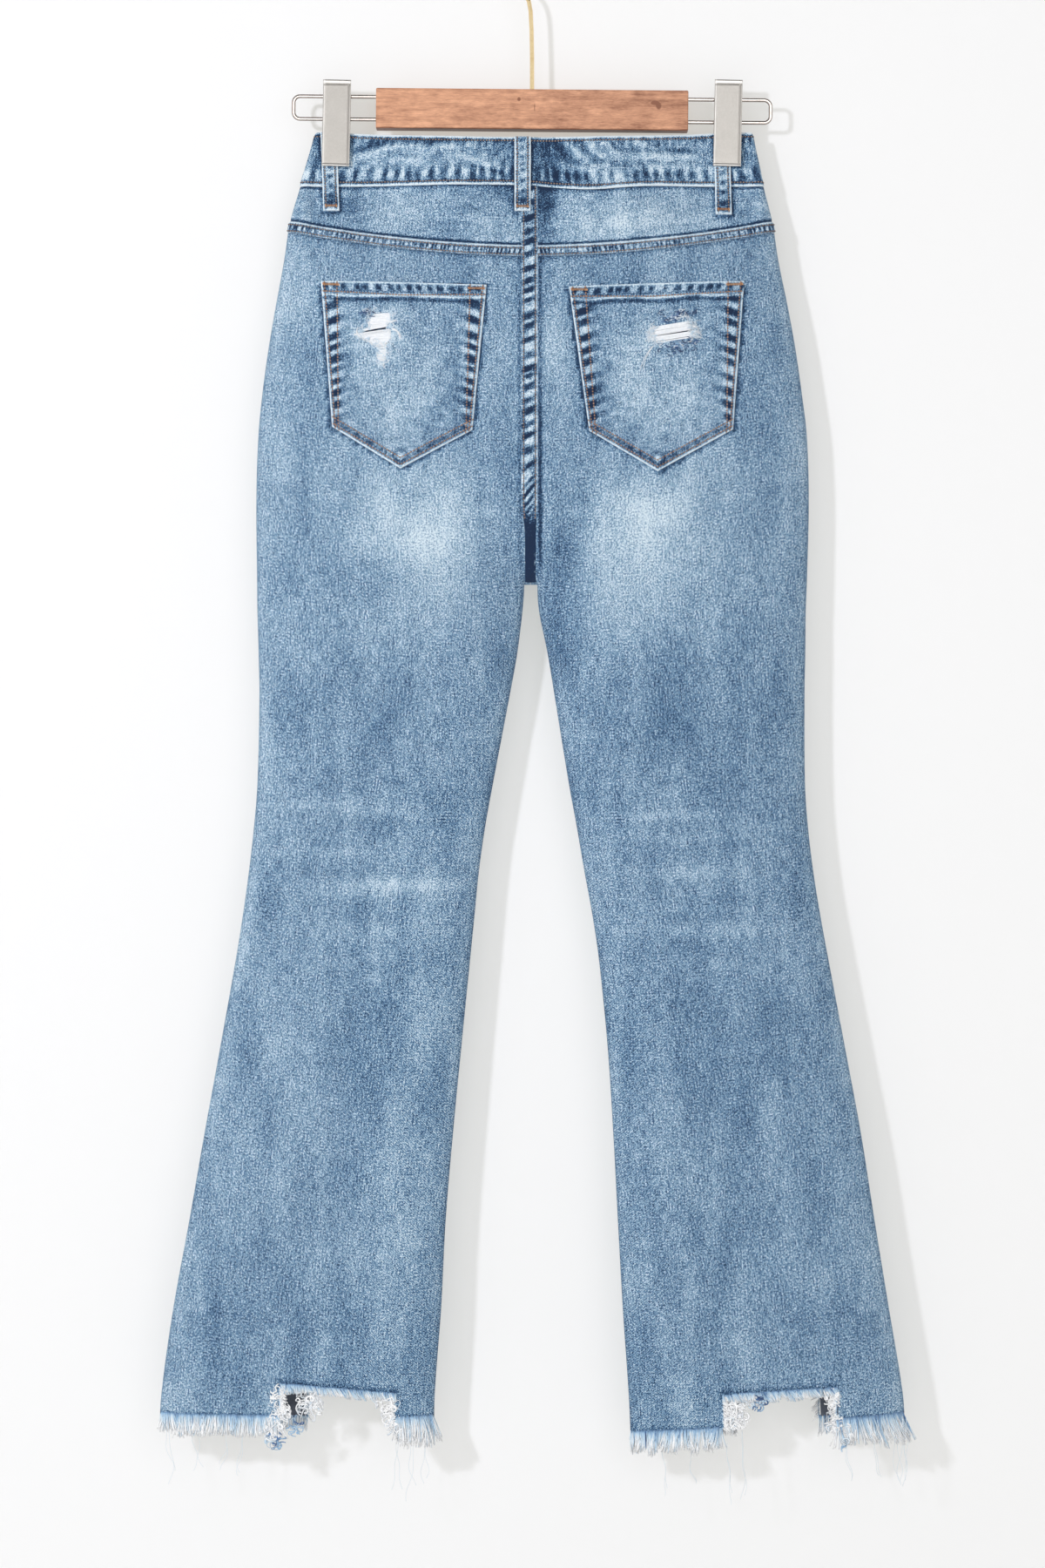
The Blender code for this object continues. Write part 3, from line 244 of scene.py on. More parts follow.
RIP_LOCKS = {
    # loose locks at the worn places: where they start, how far they reach, their way and how they turn
    -1: [Lock(-113.0, 160.2, 12.5, 0.05, 1.5, 7), Lock(-113.4, 155.6, 6.0, -0.75, 0.9, 4),
         Lock(-139.0, 163.8, 5.5, 3.9, 1.8, 3), Lock(-118.0, 187.0, 5.0, 1.9, -0.8, 2)],
    1: [Lock(98.6, 172.4, 24.0, 2.35, -0.6, 2), Lock(127.0, 159.0, 6.0, -0.4, 1.2, 3),
        Lock(96.0, 163.0, 5.0, 3.6, -1.2, 2)],
}

# ---- light, wall and camera ----------------------------------------------------------------
VIEW_X = -7.7
VIEW_Z = -679.0
VIEW_DISTANCE = 2975.0
LENS = 85.0
WALL_Y = 26.0
WALL_LEAN = math.radians(1.0)
WALL_GLOW = 0.43
GLOW_COLOUR = (1.0, 0.98, 0.87, 1.0)
WALL_LEVEL = -150.0
WALL_TOP, WALL_FOOT = 900, -1500
STAGE_HALF = 2600
FLOOR_Z = -1420
FLOOR_FRONT, FLOOR_BACK = -4000, 1500


# ---- arithmetic ----------------------------------------------------------------------------
def smooth(low, high, value):
    t = np.clip((value - low) / (high - low), 0.0, 1.0)
    return t * t * (3.0 - 2.0 * t)


def near(value, centre, half):
    return np.exp(-((value - centre) / half) ** 2)


def mix(a, b, t):
    return a + (b - a) * t


def lined(value, *lines):
    """Adds soft lines to a height or a wash, each given by strength, distance, centre and half width."""
    for strength, distance, centre, half in lines:
        value = value + strength * near(distance, centre, half)
    return value


def share_of(turn):
    return (1.0 - np.cos(np.pi * turn)) / 2.0


def turn_of(share):
    return math.acos(1.0 - 2.0 * share) / math.pi


LATTICE = 97


def cloudy(x, y, wide, tall, seed):
    """Smooth random unevenness from -1 to 1, in spots of the given size."""
    lattice = np.random.default_rng(seed).uniform(-1.0, 1.0, (LATTICE, LATTICE))
    u, v = np.broadcast_arrays(np.asarray(x, float) / wide, np.asarray(y, float) / tall)
    i, j = np.floor(u).astype(int), np.floor(v).astype(int)
    s, t = smooth(0.0, 1.0, u - i), smooth(0.0, 1.0, v - j)
    i, j, next_i, next_j = (cell % LATTICE for cell in (i, j, i + 1, j + 1))
    low = mix(lattice[i, j], lattice[next_i, j], s)
    high = mix(lattice[i, next_j], lattice[next_i, next_j], s)
    return mix(low, high, t)


def unit(vectors):
    return vectors / np.maximum(np.linalg.norm(vectors, axis=-1, keepdims=True), 1e-9)


# ---- the cloth's surface -------------------------------------------------------------------
def measured(column, drop):
    """One column of SECTIONS at any drop, as a smooth curve through its rows."""
    value = np.array([getattr(row, column) for row in SECTIONS], float)
    rows = np.arange(len(value))
    low, high = np.maximum(rows - 1, 0), np.minimum(rows + 1, rows[-1])
    slope = (value[high] - value[low]) / (DROPS[high] - DROPS[low])
    i = np.clip(np.searchsorted(DROPS, drop, side="right") - 1, 0, rows[-2])
    span = DROPS[i + 1] - DROPS[i]
    t = np.clip((drop - DROPS[i]) / span, 0.0, 1.0)
    t2, t3 = t * t, t * t * t
    return ((2 * t3 - 3 * t2 + 1) * value[i] + (t3 - 2 * t2 + t) * span * slope[i]
            + (3 * t2 - 2 * t3) * value[i + 1] + (t3 - t2) * span * slope[i + 1])


def edges_at(side, drop):
    """Inner and outer edge of a half section; side may be an array."""
    inner_left = np.where(drop <= CROTCH, L_IN, measured("left_in", drop))
    inner_right = np.where(drop <= CROTCH, R_IN, measured("right_in", drop))
    inner = np.where(side < 0, inner_left, inner_right)
    return inner, np.where(side < 0, measured("left_out", drop), measured("right_out", drop))


def height_of(folds, face, x, drop):
    height = np.zeros(np.broadcast(x, drop).shape)
    for fold in folds:
        if fold.face == face:
            down = drop - fold.drop
            aside = x - fold.x - fold.lean * down
            height += fold.depth * np.exp(-(aside / fold.half_width) ** 2 - (down / fold.half_length) ** 2)
    return height


def depth_at(side, face, x, drop):
    """How far the cloth's outer face stands from the plane of the outseams."""
    inner, outer = edges_at(side, drop)
    depth = measured("back" if face < 0 else "front", drop)
    radius = measured("edge", drop)
    off_middle = np.abs(1.0 - 2.0 * np.clip((x - inner) / (outer - inner), 0.0, 1.0))
    off_seam = np.clip(np.abs(x - SEAM_X) / np.abs(outer - SEAM_X), 0.0, 1.0)
    leg_power = radius * np.abs(outer - inner) / depth ** 2
    body_half = np.abs(outer - SEAM_X)
    body_power = 2.0 * radius * body_half / depth ** 2
    seat = np.sqrt(1.0 - np.clip((drop - SEAT_BEND) / (CROTCH - SEAT_BEND), 0.0, 1.0) ** 2)
    leg = 1.0 - off_middle ** leg_power
    body = 1.0 - off_seam ** body_power
    share = np.sqrt(np.maximum(seat ** 2 * body + (1.0 - seat ** 2) * leg, 0.0))
    pressed = CLIP_GRIP * np.sqrt(np.maximum(1.0 - off_seam ** (2.0 * body_half / CLIP_GRIP), 0.0))
    grip = (smooth(*PINCH_INWARD, np.abs(x)) * (1.0 - smooth(*PINCH_OUTWARD, np.abs(x)))
            * (1.0 - smooth(*PINCH_DOWN, drop)))
    folded = height_of(FOLDS, face, x, drop) + height_of(CREASES, face, x, drop)
    return depth * share * (1.0 - grip) + pressed * grip + folded * np.minimum(share * 2.0, 1.0)


def place(side, face, x, drop):
    """Points of the cloth's outer face."""
    y = face * np.maximum(depth_at(side, face, x, drop), HALF_GAP)
    return np.stack(np.broadcast_arrays(x, y, WAIST_Z - drop), axis=-1).astype(float)


def side_of(x):
    return np.where(x < SEAM_X, -1, 1)


def skin(face, x, drop, lift=0.0):
    """Points over the cloth at places given by x and drop, raised by the lift along its normal."""
    step = 0.6
    x, drop = np.broadcast_arrays(np.asarray(x, float), np.asarray(drop, float))
    side = side_of(x)
    rise_x = (depth_at(side, face, x + step, drop) - depth_at(side, face, x - step, drop)) / (2 * step)
    rise_drop = (depth_at(side, face, x, drop + step) - depth_at(side, face, x, drop - step)) / (2 * step)
    normal = unit(np.stack([-rise_x, np.full(x.shape, float(face)), rise_drop], axis=-1))
    return place(side, face, x, drop) + normal * np.asarray(lift)[..., None], normal


def waist_top(x):
    return WAIST_SAG * np.maximum(1.0 - (x / CLIP_X) ** 2, 0.0)


def waist_foot(x):
    return BAND_HEIGHT + BAND_DIP * near(x, BAND_DIP_X, BAND_DIP_HALF)


def yoke_foot(x):
    return YOKE_CENTRE - YOKE_RISE * (np.abs(x) / YOKE_HALF) ** YOKE_CURVE


def scoop_corner(side):
    """How far from the middle a front pocket's mouth meets the outseam."""
    return abs(measured("left_out" if side < 0 else "right_out", SCOOP_END))


def scoop_line(side, x):
    """Upper edge of a front panel: the waistband, then the pocket's mouth down to the outseam."""
    reach = np.clip((scoop_corner(side) - np.abs(x)) / SCOOP_WIDTH, 0.0, 1.0)
    return waist_foot(x) + SCOOP_DEPTH * np.sqrt(1.0 - reach ** 2)


def hem_line(side, face, share):
    hem = HEMS[side, face]
    return mix(hem.inner, hem.outer, share)


def notch_line(side, face, share):
    hem = HEMS[side, face]
    along = np.clip((share - hem.notch_in) / (hem.notch_out - hem.notch_in), 0.0, 1.0)
    return mix(hem.notch_top_in, hem.notch_top_out, along)


def crossing(side, turn, line):
    """Drop at which each turn meets an edge line given by x."""
    drop = np.full(turn.shape, float(np.mean(line(np.zeros(1)))))
    for _ in range(8):
        drop = line(x_at(side, turn, drop))
    return drop


def x_at(side, turn, drop):
    inner, outer = edges_at(side, drop)
    x = mix(inner, outer, share_of(np.maximum(turn, 0.0)))
    return np.where(turn < 0.0, mix(inner, SEAM_X + side * HALF_GAP, -turn), x)


# ---- wash over the cloth -------------------------------------------------------------------
def patches(face, x, drop):
    """Wash of plain cloth: the placed patches, and the creases' worn tops."""
    wash = np.zeros(np.broadcast(x, drop).shape)
    for patch in WASH:
        if patch.face == face:
            down = drop - patch.drop
            aside = x - patch.x - patch.lean * down
            wash += patch.wash * np.exp(-(aside / patch.half_width) ** 2 - (down / patch.half_height) ** 2)
    wash = wash * (1.0 + 0.45 * cloudy(x, drop, 24.0, 30.0, 11)) - 0.16 * height_of(CREASES, face, x, drop)
    wash = wash + 0.12 * cloudy(x, drop, 7.0, 44.0, 12) + 0.13 * cloudy(x, drop, 21.0, 60.0, 13)
    # the right of the picture is painted slightly darker, as shade from the light on the left
    return wash + 0.07 * smooth(0.0, 60.0, x)


def loop_dye_and_shadow(face, x, drop):
    """Cloth that stayed darker just beside and below the belt loops, with painted shadow that makes each
    loop's right side darker than its left.
    """
    shade = np.zeros(np.broadcast(x, drop).shape)
    for loop in LOOPS.values():
        if loop.face == face:
            off = x - mix(loop.top_x, loop.end_x, drop / loop.end_drop)
            # painted shadow: the cloth right of each loop is painted darker than the cloth left of it
            dye_and_shade_beside = near(np.abs(off) - LOOP_HALF, 0.8, 1.5) * np.where(off > 0, 1.0, 0.6)
            dye_and_shade_beside = dye_and_shade_beside * (1.0 - smooth(loop.end_drop, loop.end_drop + 2.0, drop))
            below = near(drop - loop.end_drop, 1.4, 1.5) * (np.abs(off) < LOOP_HALF + 1.0) * 0.8
            shade = np.maximum(shade, np.maximum(dye_and_shade_beside, below))
    return shade


def knots(length, pitch, seed, spread=0.28):
    """Uneven places along a seam where the cloth puckers: centre, half length and strength."""
    rng = np.random.default_rng(seed)
    found, at = [], rng.uniform(0.3, 0.9) * pitch
    while at < length:
        found.append((at, pitch * rng.uniform(0.22, 0.36), rng.uniform(0.55, 1.0)))
        at += pitch * rng.uniform(1.0 - spread, 1.0 + spread)
    return found


def pucker(run, found):
    """Strength of the puckers at each distance along the seam, from 0 to 1."""
    value = np.zeros(np.shape(run))
    for at, half, strength in found:
        value = np.maximum(value, strength * np.exp(-((run - at) / half) ** 4))
    return value


# ---- making meshes -------------------------------------------------------------------------
SHARP_ANGLE = math.radians(50.0)


def add_piece(name, mesh, materials, replaces=()):
    for material in materials:
        mesh.materials.append(material)
    piece = bpy.data.objects.new(name, mesh)
    bpy.context.scene.collection.objects.link(piece)
    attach(piece, "root")
    if replaces:
        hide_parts(*replaces)
    return piece


def store(mesh, label, values):
    attribute = mesh.attributes.new(label, "FLOAT", "POINT")
    attribute.data.foreach_set("value", np.ascontiguousarray(values, np.float32))


def outward(points):
    """Normals of a grid of points, away from the plane of the outseams."""
    normal = unit(np.cross(np.gradient(points, axis=1), np.gradient(points, axis=0)))
    return normal * np.sign(np.sum(normal[..., 1] * points[..., 1]))


Cloth = namedtuple("Cloth", "piece points normals")


def shell(name, points, wash, thickness, materials, replaces, keep=None, normals=None):
    """A closed cloth wall from a grid of its outer face; the second material is on its inner face."""
    rows, columns = points.shape[:2]
    if normals is None:
        normals = outward(points)
    count = rows * columns
    index = np.arange(count).reshape(rows, columns)
    quads = np.stack([index[:-1, :-1], index[:-1, 1:], index[1:, 1:], index[1:, :-1]], axis=-1)
    quads = quads.reshape(-1, 4) if keep is None else quads[keep]
    across = np.cross(points[0, 1] - points[0, 0], points[1, 0] - points[0, 0])
    if np.dot(across, normals[0, 0]) <= 0:
        quads = quads[:, ::-1]
    starts, ends = quads.ravel(), np.roll(quads, -1, axis=1).ravel()
    open_edge = ~np.isin(starts * count + ends, ends * count + starts)
    a, b = starts[open_edge], ends[open_edge]
    rim = np.stack([b, a, a + count, b + count], axis=-1)
    faces = np.concatenate([quads, quads[:, ::-1] + count, rim])
    both = np.concatenate([points.reshape(-1, 3), (points - normals * thickness).reshape(-1, 3)])
    u = np.cumsum(np.linalg.norm(np.diff(points, axis=1, prepend=points[:, :1]), axis=2), axis=1)
    u -= u[:, columns // 2:columns // 2 + 1]
    v = np.cumsum(np.linalg.norm(np.diff(points, axis=0, prepend=points[:1]), axis=2), axis=0)
    grain = np.stack([u, v], axis=-1).reshape(-1, 2)
    used = np.unique(faces)
    renumber = np.zeros(2 * count, int)
    renumber[used] = np.arange(len(used))
    faces = renumber[faces]
    mesh = bpy.data.meshes.new(name)
    mesh.from_pydata((both[used] * MM).tolist(), [], faces.tolist())
    look = np.zeros(len(faces), np.int32)
    look[len(quads):2 * len(quads)] = int(len(materials) > 1)
    mesh.polygons.foreach_set("material_index", look)
    mesh.shade_smooth()
    mesh.set_sharp_from_angle(angle=SHARP_ANGLE)
    store(mesh, "wash", np.tile(wash.ravel(), 2)[used])
    layer = mesh.uv_layers.new(name="grain")
    corners = np.empty(len(mesh.loops), np.int32)
    mesh.loops.foreach_get("vertex_index", corners)
    layer.data.foreach_set("uv", (np.tile(grain, (2, 1))[used][corners] * MM).astype(np.float32).ravel())
    return Cloth(add_piece(name, mesh, materials, replaces), points, normals)


def tubes(name, paths, radii, material, tips=None, sides=4, flat=None):
    """Many round threads in one mesh: paths is (threads, points, 3) and radii (threads, points)."""
    threads, steps = paths.shape[:2]
    along = unit(np.gradient(paths, axis=1))
    aid = np.array([0.12, 1.0, 0.17]) if flat is None else flat[:, None, :]
    first = unit(np.cross(along, np.broadcast_to(aid, along.shape)))
    second = np.cross(along, first)
    ring = np.arange(sides) * 2.0 * np.pi / sides
    circle = (first[:, :, None, :] * np.cos(ring)[None, None, :, None]
              + second[:, :, None, :] * np.sin(ring)[None, None, :, None])
    points = paths[:, :, None, :] + circle * radii[:, :, None, None]
    index = np.arange(threads * steps * sides).reshape(threads, steps, sides)
    after = np.roll(index, -1, axis=2)
    walls = np.stack([index[:, :-1], after[:, :-1], after[:, 1:], index[:, 1:]], axis=-1).reshape(-1, 4)
    ends = np.concatenate([index[:, 0, ::-1], index[:, -1]])
    mesh = bpy.data.meshes.new(name)
    mesh.from_pydata((points.reshape(-1, 3) * MM).tolist(), [], walls.tolist() + ends.tolist())
    mesh.shade_smooth()
    if tips is None:
        tips = np.broadcast_to(np.linspace(0.0, 1.0, steps), (threads, steps))
    store(mesh, "tip", np.repeat(tips.ravel(), sides))
    return add_piece(name, mesh, [material])


# ---- sewing --------------------------------------------------------------------------------
STITCH_PITCH = 2.4
STITCH_LENGTH = 1.85
# five points along a stitch: their height over the cloth, half thickness and painted shading, dark at the
# ends where the thread sinks into the cloth and pale on its raised middle
STITCH_RISE = np.array([-0.15, 0.22, 0.30, 0.22, -0.15])
STITCH_RADII = np.array([0.30, 0.54, 0.60, 0.54, 0.30])
STITCH_SHADING = np.array([-0.25, 0.40, 0.95, 0.40, -0.25])
sewn = {"brown_topstitching": [], "tan_topstitching": []}


def trace(cloth, rows, columns):
    """Places on a piece of cloth by row and column of its grid, between grid points too."""
    top, edge = cloth.points.shape[0] - 1.001, cloth.points.shape[1] - 1.001
    rows, columns = np.broadcast_arrays(np.clip(rows, 0, top), np.clip(columns, 0, edge))
    i, j = rows.astype(int), columns.astype(int)
    s, t = (rows - i)[:, None], (columns - j)[:, None]

    def between(grid):
        return (grid[i, j] * (1 - s) * (1 - t) + grid[i, j + 1] * (1 - s) * t
                + grid[i + 1, j] * s * (1 - t) + grid[i + 1, j + 1] * s * t)

    return between(cloth.points), unit(between(cloth.normals))


def sew(thread, places, normals):
    """Adds a row of stitches along a path."""
    run = np.concatenate([[0.0], np.cumsum(np.linalg.norm(np.diff(places, axis=0), axis=1))])
    count = max(int(run[-1] / STITCH_PITCH), 1)
    starts = (np.arange(count) + 0.5) * run[-1] / count - STITCH_LENGTH / 2.0
    at = starts[:, None] + np.linspace(0.0, 1.0, len(STITCH_RISE))[None, :] * STITCH_LENGTH
    path = np.stack([np.interp(at, run, places[:, k]) for k in range(3)], axis=-1)
    up = unit(np.stack([np.interp(at, run, normals[:, k]) for k in range(3)], axis=-1))
    sewn[thread].append((path + up * STITCH_RISE[None, :, None], up[:, 2]))


def sew_on(thread, cloth, rows, columns):
    """Adds stitches along a row, a column or a path of a cloth's grid."""
    sew(thread, *trace(cloth, rows, columns))


def finish_sewing(thread, material):
    paths = np.concatenate([rows for rows, _ in sewn[thread]])
    radii, tips = (np.broadcast_to(profile, paths.shape[:2]) for profile in (STITCH_RADII, STITCH_SHADING))
    tubes(thread, paths, radii, material, tips=tips,
          flat=np.concatenate([up for _, up in sewn[thread]]))


# ---- materials -----------------------------------------------------------------------------
NOISE_GAIN = 3.2


def linear(red, green, blue):
    """Colour from its 0 to 255 screen values."""
    values = [channel / 255.0 for channel in (red, green, blue)]
    return tuple(v / 12.92 if v <= 0.04045 else ((v + 0.055) / 1.055) ** 2.4 for v in values) + (1.0,)


def node(tree, kind, feeds=None, **settings):
    """Adds a shader node; feeds are sockets to join or plain values, by input name or number."""
    made = tree.nodes.new("ShaderNode" + kind)
    for key, value in settings.items():
        setattr(made, key, value)
    for key, value in (feeds or {}).items():
        if isinstance(value, bpy.types.NodeSocket):
            tree.links.new(value, made.inputs[key])
        else:
            made.inputs[key].default_value = value
    return made


def maths(tree, operation, *values):
    return node(tree, "Math", dict(enumerate(values)), operation=operation).outputs[0]


def total(tree, *terms):
    """Sum of shader values."""
    found = terms[0]
    for term in terms[1:]:
        found = maths(tree, "ADD", found, term)
    return found


def times(tree, value, factor):
    return maths(tree, "MULTIPLY", value, factor)


def stretched(tree, place, scale):
    return node(tree, "VectorMath", {0: place, 1: scale}, operation="MULTIPLY").outputs[0]


def grainy(tree, place, scale, detail=2.0, roughness=0.5):
    """Noise from about -1 to 1."""
    noise = node(tree, "TexNoise", {"Vector": stretched(tree, place, scale), "Scale": 1.0,
                                    "Detail": detail, "Roughness": roughness})
    return times(tree, maths(tree, "SUBTRACT", noise.outputs[0], 0.5), NOISE_GAIN)


def object_place(tree):
    return node(tree, "TexCoord").outputs["Object"]


def own_normal(tree):
    """The three parts of the surface's normal."""
    return node(tree, "SeparateXYZ", {0: node(tree, "NewGeometry").outputs["Normal"]}).outputs


def colour_mix(tree, share, first, second):
    """Blend of two colours, each a socket or 0 to 255 screen values."""
    first, second = (end if isinstance(end, bpy.types.NodeSocket) else linear(*end)
                     for end in (first, second))
    return node(tree, "Mix", {"Factor": share, 6: first, 7: second}, data_type="RGBA").outputs[2]


def colour_ramp(tree, along, stops):
    """Colours along a value, from stops of a position and a linear colour."""
    ramp = node(tree, "ValToRGB", {0: along})
    while len(ramp.color_ramp.elements) < len(stops):
        ramp.color_ramp.elements.new(0.5)
    for element, (position, colour) in zip(ramp.color_ramp.elements, stops):
        element.position = position
        element.color = colour
    return ramp.outputs[0]


def new_group(name, inputs, outputs):
    group = bpy.data.node_groups.new(name, "ShaderNodeTree")
    for label, kind, value in inputs:
        socket = group.interface.new_socket(name=label, in_out="INPUT", socket_type="NodeSocket" + kind)
        if value is not None:
            socket.default_value = value
    for label, kind in outputs:
        group.interface.new_socket(name=label, in_out="OUTPUT", socket_type="NodeSocket" + kind)
    return group, group.nodes.new("NodeGroupInput"), group.nodes.new("NodeGroupOutput")


def use_group(tree, group, **feeds):
    made = tree.nodes.new("ShaderNodeGroup")
    made.node_tree = group
    for label, value in feeds.items():
        if isinstance(value, bpy.types.NodeSocket):
            tree.links.new(value, made.inputs[label])
        else:
            made.inputs[label].default_value = value
    return made


def twill_weave_group():
    """Diagonal ribs of the twill, crossed by the yarns' own unevenness."""
    group, source, sink = new_group("twill_weave", [("Place", "Vector", None), ("Rib", "Float", 0.0008)],
                                    [("Height", "Float")])
    apart = node(group, "SeparateXYZ", {0: source.outputs["Place"]})
    slant = total(group, apart.outputs[0], times(group, apart.outputs[1], 1.2))
    wander = grainy(group, source.outputs["Place"], (260.0, 260.0, 260.0))
    turn = total(group, maths(group, "DIVIDE", slant, source.outputs["Rib"]), times(group, wander, 0.16))
    rib = maths(group, "SINE", times(group, turn, 2.0 * math.pi))
    group.links.new(rib, sink.inputs["Height"])
    return group


def slub_yarn_group():
    """Uneven yarns: flecks, streaks along the warp, thick places in the weft and broad mottling."""
    group, source, sink = new_group("slub_yarn", [("Place", "Vector", None), ("Fleck", "Float", 1.0),
                                                  ("Streak", "Float", 1.0), ("Mottle", "Float", 1.0)],
                                    [("Tone", "Float")])
    place = source.outputs["Place"]
    fleck = times(group, grainy(group, place, (880.0, 780.0, 1.0), 3.0, 0.75), source.outputs["Fleck"])
    warp = grainy(group, place, (840.0, 100.0, 1.0))
    weft = grainy(group, place, (120.0, 880.0, 1.0))
    streak = times(group, total(group, warp, times(group, weft, 0.35)), source.outputs["Streak"])
    broad = times(group, grainy(group, place, (46.0, 20.0, 1.0), 4.0), source.outputs["Mottle"])
    group.links.new(total(group, fleck, streak, broad), sink.inputs["Tone"])
    return group


INDIGO = [
    # from bleached to unwashed: position along the wash and linear colour
    (0.0, (0.750, 0.845, 0.920)), (0.25, (0.412, 0.570, 0.712)), (0.5, (0.173, 0.316, 0.478)),
    (0.75, (0.058, 0.147, 0.292)), (1.0, (0.008, 0.024, 0.066)),
]


def indigo_group():
    """Colour of the dyed cloth from its wash."""
    group, source, sink = new_group("indigo_dye", [("Wash", "Float", 0.0)], [("Color", "Color")])
    along = maths(group, "MULTIPLY_ADD", source.outputs["Wash"], 0.5, 0.5)
    dyed = colour_ramp(group, along, [(position, (*colour, 1.0)) for position, colour in INDIGO])
    group.links.new(dyed, sink.inputs["Color"])
    return group


twill_weave = twill_weave_group()
slub_yarn = slub_yarn_group()
indigo_dye = indigo_group()


def new_material(name, roughness, metallic=0.0, sheen=0.0, coat=0.0):
    material = bpy.data.materials.new(name)
    material.use_nodes = True
    tree = material.node_tree
    shader = tree.nodes["Principled BSDF"]
    shader.inputs["Roughness"].default_value = roughness
    shader.inputs["Metallic"].default_value = metallic
    shader.inputs["Sheen Weight"].default_value = sheen
    shader.inputs["Coat Weight"].default_value = coat
    return material, tree, shader


def bump(tree, shader, height, distance, strength=1.0):
    bent = node(tree, "Bump", {"Height": height, "Distance": distance, "Strength": strength})
    tree.links.new(bent.outputs[0], shader.inputs["Normal"])


def grain_place(tree):
    return node(tree, "UVMap", uv_map="grain").outputs[0]


def own_value(tree, label):
    return node(tree, "Attribute", attribute_type="GEOMETRY", attribute_name=label).outputs["Fac"]


def denim_material():
    material, tree, shader = new_material("washed_denim", 0.95, sheen=0.04)
    place = grain_place(tree)
    yarn = use_group(tree, slub_yarn, Place=place, Fleck=2.2, Streak=0.58, Mottle=0.20).outputs["Tone"]
    rib = use_group(tree, twill_weave, Place=place, Rib=0.0021).outputs["Height"]
    tone = total(tree, own_value(tree, "wash"), yarn, times(tree, rib, -0.24), 0.03)
    dye = use_group(tree, indigo_dye, Wash=tone)
    tree.links.new(dye.outputs["Color"], shader.inputs["Base Color"])
    bump(tree, shader, maths(tree, "SUBTRACT", times(tree, rib, 0.5), yarn), 0.00016, 0.8)
    return material


def reverse_material():
    """Inner face of the denim, where the undyed weft lies uppermost; its colours are darkened with painted
    shade, as the inner face is seen in shadow.
    """
    material, tree, shader = new_material("denim_reverse", 0.95, sheen=0.08)
    place = grain_place(tree)
    yarn = use_group(tree, slub_yarn, Place=place, Fleck=0.5, Streak=0.35, Mottle=0.2).outputs["Tone"]
    rib = use_group(tree, twill_weave, Place=place, Rib=0.00085).outputs["Height"]
    shade = colour_mix(tree, maths(tree, "MULTIPLY_ADD", yarn, 0.4, 0.45), (132, 138, 150), (54, 60, 76))
    tree.links.new(shade, shader.inputs["Base Color"])
    bump(tree, shader, rib, 0.00012, 0.8)
    return material


FRAYED = [
    # from root to tip: position along the yarn and 0 to 255 screen colour
    (0.0, (30, 56, 104)), (0.14, (74, 112, 162)), (0.36, (160, 194, 224)), (0.62, (208, 227, 241)),
    (0.86, (233, 236, 241)), (1.0, (253, 253, 254)),
]


def yarn_end_material():
    """Frayed ends: dyed where they leave the cloth and bleached at their tips."""
    material, tree, shader = new_material("frayed_yarn", 0.95, sheen=0.3)
    uneven = grainy(tree, object_place(tree), (700.0, 700.0, 700.0))
    along = total(tree, own_value(tree, "tip"), times(tree, uneven, 0.07))
    shade = colour_ramp(tree, along, [(position, linear(*colour)) for position, colour in FRAYED])
    tree.links.new(shade, shader.inputs["Base Color"])
    return material


def sewing_material(name, light, dark):
    """Twisted sewing thread, worn paler here and there, and painted dark as shade where its tip value is low,
    at each stitch's sunken ends.
    """
    material, tree, shader = new_material(name, 0.6, sheen=0.1)
    spot = object_place(tree)
    worn = times(tree, grainy(tree, spot, (160.0, 160.0, 160.0), 3.0), 0.4)
    shade = colour_mix(tree, total(tree, worn, own_value(tree, "tip")), dark, light)
    tree.links.new(shade, shader.inputs["Base Color"])
    bump(tree, shader, grainy(tree, spot, (2600.0, 2600.0, 2600.0)), 0.00008)
    return material


def tape_material():
    material, tree, shader = new_material("zip_tape_weave", 0.85, sheen=0.1)
    rib = use_group(tree, twill_weave, Place=object_place(tree), Rib=0.0007).outputs["Height"]
    shade = colour_mix(tree, maths(tree, "MULTIPLY_ADD", rib, 0.25, 0.5), (38, 48, 66), (64, 78, 102))
    tree.links.new(shade, shader.inputs["Base Color"])
    bump(tree, shader, rib, 0.00012)
    return material


def metal_material(name, light, dark, roughness, brushing, side_shade=0.0):
    """Plated metal, finely brushed and a little tarnished; its sides that turn from front and back are
    painted darker as shade, and it is painted near-white as highlight where its wash value is set.
    """
    material, tree, shader = new_material(name, roughness, metallic=1.0)
    spot = object_place(tree)
    brushed = grainy(tree, spot, (brushing, brushing, brushing), 3.0)
    tarnish = grainy(tree, spot, (90.0, 90.0, 90.0), 3.0)
    # painted shade: the sides that turn from front and back are painted darker
    aside = maths(tree, "SUBTRACT", 1.0, maths(tree, "ABSOLUTE", own_normal(tree)[1]))
    amount = total(tree, times(tree, brushed, 0.12), times(tree, tarnish, 0.16),
                   times(tree, aside, side_shade), 0.35 - 0.2 * side_shade)
    shade = colour_mix(tree, own_value(tree, "wash"), colour_mix(tree, amount, light, dark), (246, 243, 240))
    tree.links.new(shade, shader.inputs["Base Color"])
    tree.links.new(maths(tree, "MULTIPLY_ADD", brushed, 0.06, roughness), shader.inputs["Roughness"])
    bump(tree, shader, brushed, 0.00003, 0.5)
    return material


WOOD_MARKS = [
    # small marks in the bar: centre in metres, and one over the half sizes
    ((-0.0105, 0.0, -0.1300), (600.0, 10.0, 500.0)),
    ((0.0985, 0.0, -0.1330), (260.0, 10.0, 500.0)),
    ((0.1015, 0.0, -0.1355), (400.0, 10.0, 300.0)),
    ((0.0020, 0.0, -0.1365), (2200.0, 10.0, 240.0)),
]


